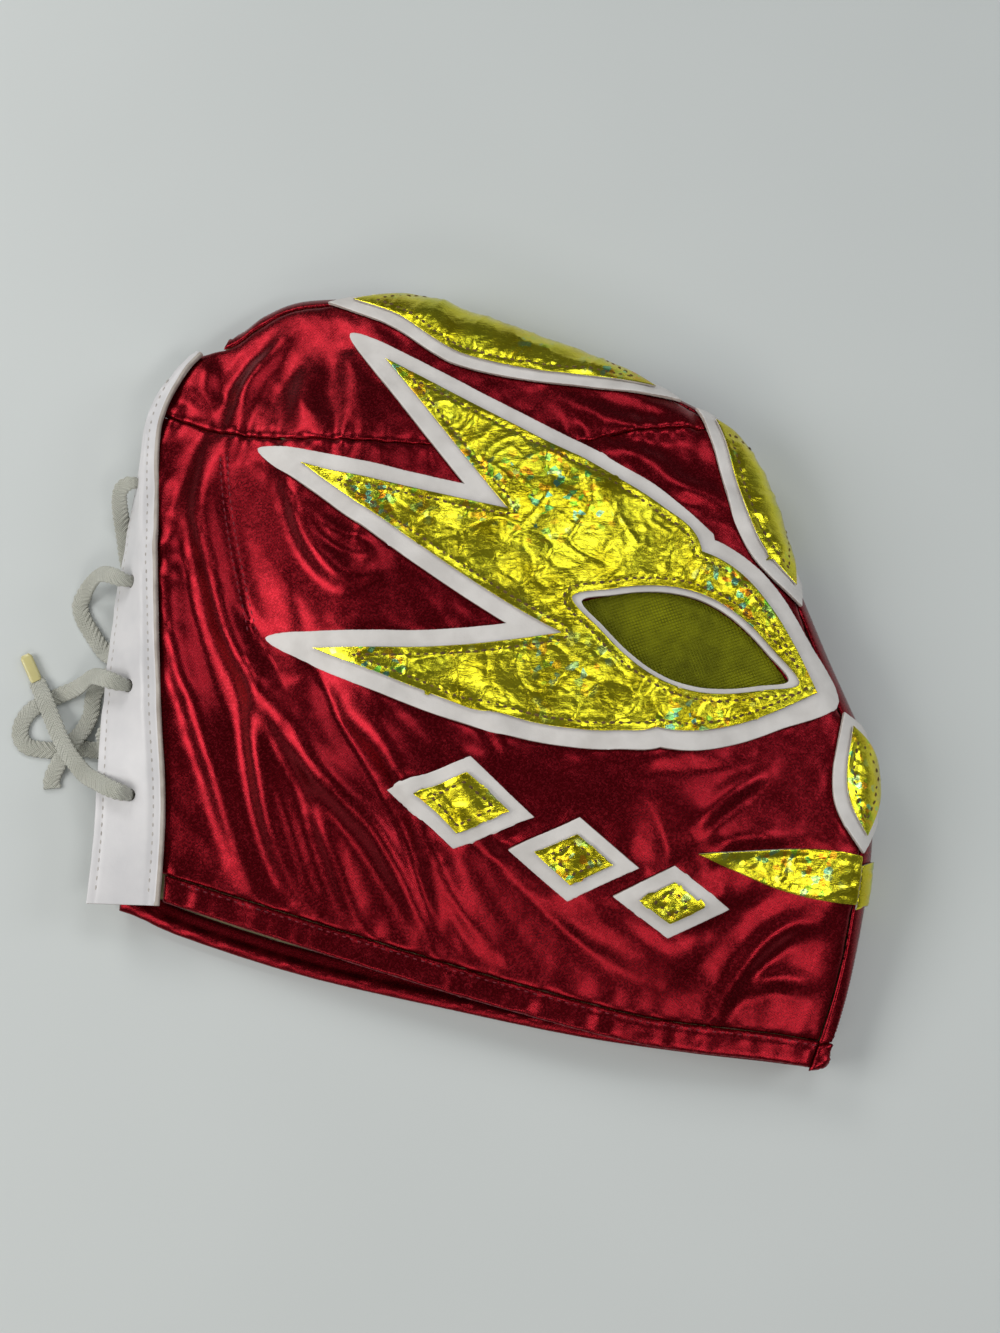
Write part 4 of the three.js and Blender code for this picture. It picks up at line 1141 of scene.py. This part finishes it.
lace_look = lace_cotton()
lace_shape = (LACE_WIDTH, LACE_THICKNESS, lace_look, LACE_DROP)
lace, lace_line = ribbon("long_lace", LACE_POINTS, *lace_shape, braid=BRAID_HEIGHT)
tail, tail_line = ribbon("short_lace", TAIL_POINTS, *lace_shape, braid=BRAID_HEIGHT)
aglet_shape = (AGLET_WIDTH, AGLET_THICKNESS, aglet_plastic, AGLET_DROP)
aglet, _ = ribbon("lace_end", AGLET_POINTS, *aglet_shape, taper=AGLET_TAPER)
dress(lace, "lace_cotton", "lace")
dress(tail, "lace_cotton", "lace_tail")
dress(aglet, "aglet", "lace_aglet")
for cord, line, end, others in ((lace, lace_line, "bare", []), (tail, tail_line, "fitting", [aglet])):
    to_frame(line[0])
    lengths(line)[-1] * MM
    to_frame(line)
    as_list(others)


# Small waves for gathered and crinkled cloth
def rough_line(at, seed, longest, shortest=None):
    """Uneven waves along a length, about from -1 to 1"""
    dice = np.random.default_rng(seed)
    total = np.zeros(len(at))
    for size in np.geomspace(longest, shortest or longest / 3, 7):
        total += np.sin(2 * math.pi * at / (size * dice.uniform(0.9, 1.1)) + dice.uniform(0, 2 * math.pi))
    return total / 2.2


def rough_field(points, seed, longest, shortest=None, count=14, lean=None, narrow=1.0):
    """Uneven waves over the plan, drawn out along a lean if there is one"""
    dice = np.random.default_rng(seed)
    total = np.zeros(len(points))
    for size in np.geomspace(longest, shortest or longest / 3, count):
        angle = dice.uniform(0, math.pi) if lean is None else lean + math.pi / 2 + dice.normal(0, narrow)
        way = np.array([math.cos(angle), math.sin(angle)])
        total += np.sin(2 * math.pi * (points @ way) / size + dice.uniform(0, 2 * math.pi))
    return total * math.sqrt(2 / count) / 1.6


flame_loops = [leaf(row, BORDER_WIDTH) for row in FLAME_LEAVES]
patch_loops = flame_loops + [lozenge(row, SMALL_BORDER_WIDTH) for row in JAW_LOZENGES]
patch_loops += [leaf(MOUTH_LEAF)] + [seam_leaf(row, SMALL_BORDER_WIDTH) for row in SEAM_PATCHES.values()]


def under_patch(points):
    return inside_any(points, patch_loops)


patch_rims = region([evenly(loop, 1.0) for loop in patch_loops], under_patch)
patch_tree = tree_round(patch_rims)


# Creases, as shares of a fold's height and width
RIDGE_HEIGHT = 0.4
RIDGE_WIDTH = 0.34
RIDGE_ROUNDING = 0.02
RIPPLE_HEIGHT = 0.14
RIPPLES = 0.6
RIPPLE_REACH = 1.4


def creases(points):
    """The sharp ridge of each fold, with smaller folds beside it"""
    height = np.zeros(len(points))
    for crest, width, near, distance, _, taper in folds_near(points, 5):
        across = distance / width
        ridge = RIDGE_HEIGHT * np.exp(-(np.sqrt(across ** 2 + RIDGE_ROUNDING)) / RIDGE_WIDTH)
        ripple = RIPPLE_HEIGHT * np.sin(2 * math.pi * RIPPLES * across) * np.exp(-across / RIPPLE_REACH)
        height[near] += crest * taper * (ridge + ripple * np.sign(crest))
    return height


# Gathers beside a line: how far off it they start, height, reach, seed, longest and shortest wave
GATHERS = [
    (crown_seam_line, 0, 0.42, 6, 3, 17, 6),
    (upper_hem_line, HEM_DEPTH, 0.3, 8, 5, 30, 10),
    (back_line, FACING_LAP, 0.3, 6, 7, 34, 12),
]
PATCH_PULL = 0.3
PATCH_REACH = 6
DRAWN_HEIGHT = 0.22
CRINKLE_HEIGHT = 0.04
DART_DEPTH = 0.6
DART_WIDTH = 0.7
RIM_DEPTH = 0.8
RIM_REACH = 1.1
ROOM_UNDER_PATCH = (0.15, 0.4)

# The hem, the foil and the vinyl. A foil crease's height is a share of its longest wave, given with its seed.
HEM_GATHER = 0.16
HEM_CRINKLE = 0.06
HEM_SEAM_DEPTH = 0.5
HEM_SEAM_WIDTH = 0.8
HEM_RIM_DEPTH = 0.3
ROLL_HEIGHT = 0.9
ROLL_GATHER = 0.25
FOIL_WAVE = 0.45
FOIL_CREASES = [(31, 40), (37, 26), (41, 17)]
FOIL_CREASE_HEIGHT = 0.012
FOIL_CREASE_WIDTH = 0.13
FOIL_CRINKLE = 0.05
PUCKER_HEIGHT = 0.16
PUCKER_REACH = 1.6
FOIL_SEAM_DEPTH = 0.3
FOIL_SEAM_WIDTH = 0.7
VINYL_WAVE = 0.07


def cloth_relief(points, rim):
    """What a panel's cloth adds to the folded shape: gathers along its seams and fine crinkles"""
    height = np.zeros(len(points))
    for line, start, high, reach, seed, longest, shortest in GATHERS:
        off, along, _ = nearest(points, line)
        waves = rough_line(along, seed, longest, shortest)
        height += high * np.exp(-np.maximum(off - start, 0) / reach) * waves
    patch = distances(points, patch_tree)
    height += PATCH_PULL * np.exp(-patch / PATCH_REACH) * rough_field(points, 11, 16, 7)
    height += DRAWN_HEIGHT * (0.5 - np.abs(rough_field(points, 13, 60, 22, lean=-1.05, narrow=0.2)))
    height += CRINKLE_HEIGHT * rough_field(points, 17, 7, 2.5)
    height += creases(points) * ease(patch, PATCH_REACH)
    dart, _, _ = nearest(points, dart_line)
    height -= DART_DEPTH * bell(dart, DART_WIDTH)
    height -= RIM_DEPTH * np.exp(-rim / RIM_REACH)
    room = np.where(under_patch(points), 0, ease(patch, 2.5))
    above_it, below_it = (mix(share, 1, room) for share in ROOM_UNDER_PATCH)
    return height * np.where(height > 0, above_it, below_it)


def hem_relief(points, rim):
    """The thick hem: softly gathered, with its stitched line pressed in"""
    line, along, _ = nearest(points, upper_hem_line)
    height = HEM_GATHER * rough_line(along, 19, 26, 8) + HEM_CRINKLE * rough_field(points, 23, 12, 5)
    height -= HEM_SEAM_DEPTH * bell(line - HEM_DEPTH + HEM_ROW, HEM_SEAM_WIDTH)
    return height * ease(rim, 1.5) - HEM_RIM_DEPTH * np.exp(-rim / HEM_SEAM_WIDTH)


def rolled_hem(points, rim):
    """The lower hem's inner side, rolled up along its edge and gathered"""
    line, along, _ = nearest(turned_under(points), lower_hem_line)
    roll = np.sin(math.pi * np.clip(line / HEM_TURN, 0, 1))
    return (ROLL_HEIGHT + ROLL_GATHER * rough_line(along, 53, 24, 8)) * roll * ease(rim, 3)


def foil_relief(points, rim):
    """Crinkles of the foil, which its stitched rim pulls down"""
    height = FOIL_WAVE * rough_field(points, 29, 44, 15)
    for seed, longest in FOIL_CREASES:
        fold = np.abs(rough_field(points, seed, longest, longest / 2))
        height += FOIL_CREASE_HEIGHT * longest * np.exp(-fold / FOIL_CREASE_WIDTH)
    height += FOIL_CRINKLE * rough_field(points, 43, 6, 2.2)
    seam = rim - FOIL_STITCH_INSET
    pucker = PUCKER_HEIGHT * rough_field(points, 47, 4.6, 2.6) * bell(seam, PUCKER_REACH)
    return (height + pucker) * ease(rim, 3) - FOIL_SEAM_DEPTH * bell(seam, FOIL_SEAM_WIDTH)


def vinyl_relief(points, rim):
    return VINYL_WAVE * rough_field(points, 37, 14, 5)


def plain(points, rim):
    return np.zeros(len(points))


# The hood's pieces, side by side
def side_region(side, *tests, holes=()):
    """Outlines on one side of the mask of what lies inside all the loops and outside the holes"""
    loops = [inside_seam if side == "right" else inside_fold, *tests]
    found = region([*loops, *holes], lambda points: inside_every(points, loops) & ~inside_any(points, holes))
    if side == "right":
        return found
    return [turned_under(evenly(loop, 1.0), GAP / 2)[::-1] for loop in found]


def union_region(side, leaves, holes=()):
    """Outlines on one side of the mask of what lies inside any leaf and outside the holes"""
    found = region([*leaves, *holes], lambda points: inside_any(points, leaves) & ~inside_any(points, holes))
    if side == "right":
        return found
    return [turned_under(loop)[::-1] for loop in found]


def net_grid(name, loop, pitch, width, lean):
    """Crossing threads over a loop of the plan, on the net's outer face"""
    points, faces = [], []
    for turn, rise in zip((lean, lean + math.pi / 2), NET_RISES):
        along = np.array([math.cos(turn), math.sin(turn)])
        across = np.array([-along[1], along[0]])
        starts = np.arange((loop @ across).min() + pitch / 2, (loop @ across).max(), pitch)
        steps = np.arange((loop @ along).min(), (loop @ along).max(), NET_STEP)
        spots = steps[None, :, None] * along + starts[:, None, None] * across
        kept = inside(spots.reshape(-1, 2), loop).reshape(spots.shape[:2])
        for row, keep in zip(spots, kept):
            for run in np.split(np.arange(len(row)), np.flatnonzero(np.diff(keep.astype(int))) + 1):
                count = len(run)
                if count < 3 or not keep[run[0]]:
                    continue
                start = np.arange(count - 1) + sum(map(len, points))
                for shift, height in ((-width / 2, 0), (0, width), (width / 2, 0)):
                    points.append(hood(row[run] + across * shift) + [0, 0, NET_OUTER + rise + height])
                for first, second in ((0, count), (count, 2 * count), (2 * count, 0)):
                    faces.append(np.column_stack([start + second, start + second + 1, start + first + 1]))
                    faces.append(np.column_stack([start + second, start + first + 1, start + first]))
    points, faces = np.vstack(points), np.vstack(faces)
    return build(name, points, faces, np.zeros(len(faces)), [net_thread], points[:, :2])


CLOTH = [red, lining, red]
VINYL = [white, white, cut_white]
FOIL = [gold, cut_white, cut_white]
PANEL_EDGE = 0.9
HEM_EDGE = 1.2
VINYL_EDGE = 0.35
FOIL_EDGE = 0.3
FACING_EDGE = 0.4
LINING_SHARE = 0.8

# How far apart a piece's points lie: on the upper side, then on the lower one
PANEL_PITCH = (1.5, 1.9)
HEM_PITCH = (1.0, 1.2)
NET_POINT_PITCH = (1.5, 3)
BORDER_PITCH = (1.2, 2.5)
FOIL_PITCH = (0.9, 2.5)
FACING_PITCH = (0.9, 2.0)
TRIM_PITCH = 1.0
BORDER = (BORDER_OUTER, BORDER_INNER, BORDER_PITCH[0], VINYL, VINYL_EDGE)
PATCH = (FOIL_OUTER, FOIL_INNER, FOIL_PITCH[0], FOIL, FOIL_EDGE, foil_relief)


def sewn(name, slot, node, loops, *shape):
    return dress(sheet(name, loops, hood, *shape), slot, node)


eye_loop = leaf(EYE_LEAF)
foil_loops = []
for layer, side in enumerate(("right", "left")):
    upper = side == "right"
    hem_line = upper_hem_line if upper else lower_hem_line
    back = inside_back(0 if upper else CORNER_SLIP)
    over_hem = above(moved(hem_line, HEM_DEPTH + SEAM_GAP))
    panel = (0, -WALL, PANEL_PITCH[layer], CLOTH, PANEL_EDGE, cloth_relief if upper else plain, LINING_SHARE)
    under_seam = below(moved(crown_seam_line, -SEAM_GAP / 2))
    loops = side_region(side, back, over_hem, under_seam, holes=[eye_loop])
    sewn(f"{side}_side_panel", "red_cloth", f"side_panel_{side}", loops, *panel)
    loops = side_region(side, back, over_hem, above(moved(crown_seam_line, SEAM_GAP / 2)))
    sewn(f"{side}_crown_panel", "red_cloth", f"crown_panel_{side}", loops, *panel)
    hem_tests = [back, above(hem_line), below(moved(hem_line, HEM_DEPTH))]
    if upper:
        facing_edge = moved(back_line[:9], -2 * GAP)
        foot = [facing_edge[0, 0], -FAR]
        hem_tests.append(np.vstack([foot, facing_edge, far_corner(1, 0), far_corner(1, -1)]))
    rolling = (hem_relief, 0) if upper else (rolled_hem, -1)
    sewn(f"{side}_neck_hem", "red_cloth", f"neck_hem_{side}", side_region(side, *hem_tests),
         HEM_OUTER, HEM_INNER, HEM_PITCH[layer], [red], HEM_EDGE, *rolling)

    net = leaf(EYE_LEAF, NET_OVERLAP)
    sewn(f"{side}_eye_net", "eye_net", f"eye_mesh_{side}", [net] if upper else [turned_under(net)[::-1]],
         NET_OUTER, NET_INNER, NET_POINT_PITCH[layer], [net_backing])
    if upper:
        dress(net_grid("eye_net_threads", evenly(net, 1.0), NET_PITCH, NET_THREAD, NET_LEAN), "eye_net")

    loops = union_region(side, flame_loops, [leaf(EYE_LEAF, -EYE_RIM_SEAT)])
    sewn(f"{side}_flame_border", "white_edging", f"eye_flame_border_{side}", loops,
         BORDER_OUTER, BORDER_INNER, BORDER_PITCH[layer], VINYL, VINYL_EDGE, vinyl_relief if upper else plain)
    loops = union_region(side, [leaf(row) for row in FLAME_LEAVES], [leaf(EYE_LEAF, EYE_RIM_WIDTH)])
    sewn(f"{side}_flame", "gold_foil", f"eye_flame_{side}", loops,
         FOIL_OUTER, FOIL_INNER, FOIL_PITCH[layer], FOIL, FOIL_EDGE, foil_relief if upper else plain)
    if upper:
        foil_loops += loops
    for index, row in enumerate(JAW_LOZENGES, 1):
        loops = union_region(side, [lozenge(row, SMALL_BORDER_WIDTH)])
        node = f"jaw_lozenge_border_{index}_{side}"
        sewn(f"{side}_lozenge_border_{index}", "white_edging", node, loops, *BORDER)
        loops = union_region(side, [lozenge(row)])
        sewn(f"{side}_lozenge_{index}", "gold_foil", f"jaw_lozenge_{index}_{side}", loops, *PATCH)
        if upper:
            foil_loops += loops
    sewn(f"{side}_mouth_trim", "gold_foil", f"mouth_trim_{side}", side_region(side, leaf(MOUTH_LEAF)),
         TRIM_OUTER, BORDER_INNER, TRIM_PITCH, FOIL, FOIL_EDGE, foil_relief)

for name, row in SEAM_PATCHES.items():
    border_loop, foil_loop = (outwards(seam_leaf(row, grow)) for grow in (SMALL_BORDER_WIDTH, 0))
    sewn(f"{name}_edging", "white_edging", f"{name}_border", [border_loop], *BORDER, vinyl_relief)
    sewn(f"{name}_foil", "gold_foil", name, [foil_loop], *PATCH)
    foil_loops.append(foil_loop)


# Facings, over the length along the back opening and the way out from its inner edge, and their relief
LIP_HEIGHT = 0.5
LIP_MIDDLE = 0.8
LIP_HALF = 0.9
LIP_SEAM = 0.3
INNER_SEAM = 0.25
OUTER_SEAM = 0.2
SEAM_WIDTH = 0.6
FACING_WAVE = 0.1


def facing_strip(first, last, reach, hole):
    at = np.linspace(first, last, 200)
    loops = [np.vstack([[[first, 0]], [[last, 0]], np.column_stack([at, reach(at)])[::-1]])]
    angle = np.linspace(0, -2 * math.pi, EYELET_SIDES, endpoint=False)
    circle = EYELET_RADIUS * np.column_stack([np.cos(angle), np.sin(angle)])
    for spot in EYELET_PLACES:
        if first < spot < last - 8:
            loops.append(circle + [spot, hole * reach(np.array([spot]))[0]])
    return loops


def upper_reach(at):
    return facing_frame(at)[3]


def facing_relief(points, rim):
    """The strip's stitched lip stands a little higher beside the cloth"""
    way = points[:, 1]
    lip = LIP_HEIGHT * np.exp(-((way - LIP_MIDDLE) / LIP_HALF) ** 4) - LIP_SEAM * bell(way - LIP_WIDTH, 0.35)
    outer_row = upper_reach(points[:, 0]) - OUTER_ROW
    row = -INNER_SEAM * bell(way - INNER_ROW, SEAM_WIDTH) - OUTER_SEAM * bell(way - outer_row, SEAM_WIDTH)
    return lip + row + FACING_WAVE * rough_line(points[:, 0], 41, 34, 11)


def on_lip(points):
    return points[:, 1] < LIP_WIDTH


loops = facing_strip(0, FACING_TOP * facing_length, upper_reach, 0.5)
made = sheet("right_facing", loops, upper_facing, FACING_THICKNESS, 0, FACING_PITCH[0],
             [facing_white, lining, cut_white], FACING_EDGE, facing_relief, on_hood=False, trimmed=on_lip)
dress(made, "white_facing", "lace_facing_right")
first, last = (share * facing_length for share in LOWER_FACING)
loops = facing_strip(first, last, lower_reach, LOWER_FACING_HOLE)
made = sheet("left_facing", loops, lower_facing, 0, -FACING_THICKNESS, FACING_PITCH[1],
             [facing_white, facing_white, cut_white], FACING_EDGE, on_hood=False)
dress(made, "white_facing", "lace_facing_left")

# Stitches
FOIL_STITCH = (2.1, 1.1, 0.7)
FOIL_STITCH_PITCH = 3.0
CLOTH_STITCH = (2.0, 0.6, 0.5)
CLOTH_STITCH_PITCH = 3.0
FACING_STITCH = (2.2, 0.7, 0.5)
FACING_STITCH_PITCH = 3.4
LEAST_STITCHED_AREA = 60
WELL_INSIDE = 3.0
DART_ROW = 1.4


def foil_face(points):
    return FOIL_OUTER + foil_relief(points, np.full(len(points), FOIL_STITCH_INSET))


rows = [row_inside(loop, FOIL_STITCH_INSET) for loop in foil_loops if abs(area(loop)) > LEAST_STITCHED_AREA]
stitches = beads("foil_stitches", rows, hood, foil_face, FOIL_STITCH_PITCH, FOIL_STITCH, hole_shade_thread)
dress(stitches, "gold_foil")


def hem_row(way):
    line = moved(plan_line(UPPER_HEM_ROWS, 400), way)
    turn, reach = polar(line)
    return line[(line[:, 0] > 18) & (reach < fold_reach(turn) - 3)]


def sewn_face(points):
    on_hem = nearest(points, upper_hem_line)[0] < HEM_DEPTH
    far = np.full(len(points), WELL_INSIDE)
    return np.where(on_hem, HEM_OUTER + hem_relief(points, far), cloth_relief(points, far))


def facing_face(points):
    return FACING_THICKNESS + facing_relief(points, None)


rows = [hem_row(HEM_DEPTH - HEM_ROW), moved(dart_line, DART_ROW), moved(dart_line, -DART_ROW)]
stitches = beads("cloth_stitches", rows, hood, sewn_face, CLOTH_STITCH_PITCH, CLOTH_STITCH, red_thread,
                 closed=False)
dress(stitches, "red_cloth")
at = np.linspace(4, FACING_TOP * facing_length - 12, 300)
rows = [np.column_stack([at, np.full(300, INNER_ROW)]), np.column_stack([at, upper_reach(at) - OUTER_ROW])]
stitches = beads("facing_stitches", rows, upper_facing, facing_face, FACING_STITCH_PITCH, FACING_STITCH,
                 pale_thread, closed=False)
dress(stitches, "white_facing")

# The cloth as it was cut: width and length in metres, then the cut's area in square metres
CUTS = {
    "right_side_panel": (0.270, 0.239, 0.0480),
    "left_side_panel": (0.281, 0.250, 0.0545),
    "right_crown_panel": (0.220, 0.066, 0.0092),
    "left_crown_panel": (0.225, 0.085, 0.0141),
}
for name, (width, length, cut_area) in CUTS.items():
    side, _, panel = name.partition("_")


# Table and light
def stage_floor():
    shader = Shader("table", Roughness=0.55, Specular_IOR_Level=0.3)
    spot, _ = shader.place()
    tone = shader.ramp(shader.noise(spot, 3.0, 3.0), [(0.3, (0.6, 0.63, 0.62)), (0.7, (0.64, 0.67, 0.66))])
    shader.feed(Base_Color=tone)
    bpy.ops.mesh.primitive_plane_add(size=6)
    floor = bpy.context.object
    floor.name = "table"
    floor.data.materials.append(shader.material)


def area_light(name, spot, size, power, colour):
    data = bpy.data.lights.new(name, "AREA")
    data.shape = "RECTANGLE"
    data.size, data.size_y = size
    data.energy = power
    data.color = colour
    light = bpy.data.objects.new(name, data)
    light.location = spot
    light.rotation_mode = "QUATERNION"
    light.rotation_quaternion = (-Vector(spot)).to_track_quat("-Z", "Y")
    bpy.context.scene.collection.objects.link(light)


stage_floor()
area_light("window", (-1.1, -0.1, 0.82), (0.75, 0.7), 8.8, (1, 0.99, 0.97))
area_light("second_window", (-0.6, 0.8, 0.75), (0.4, 0.4), 3.1, (1, 0.99, 0.97))
area_light("ceiling", (0.3, 0.6, 1.1), (0.5, 0.3), 1.9, (0.97, 0.99, 1))
area_light("lamp", (0.45, -0.5, 1.05), (0.55, 0.16), 2.1, (1, 0.98, 0.95))
area_light("doorway", (-0.35, -1.0, 0.75), (0.7, 0.25), 2.2, (1, 0.97, 0.92))
area_light("wall", (1.1, 0.15, 0.75), (0.45, 0.45), 3.0, (0.95, 0.98, 1))
world = bpy.data.worlds.new("room")
world.use_nodes = True
world.node_tree.nodes["Background"].inputs["Color"].default_value = (0.88, 0.94, 1, 1)
world.node_tree.nodes["Background"].inputs["Strength"].default_value = 0.115
bpy.context.scene.world = world
bpy.context.scene.view_settings.view_transform = "Standard"
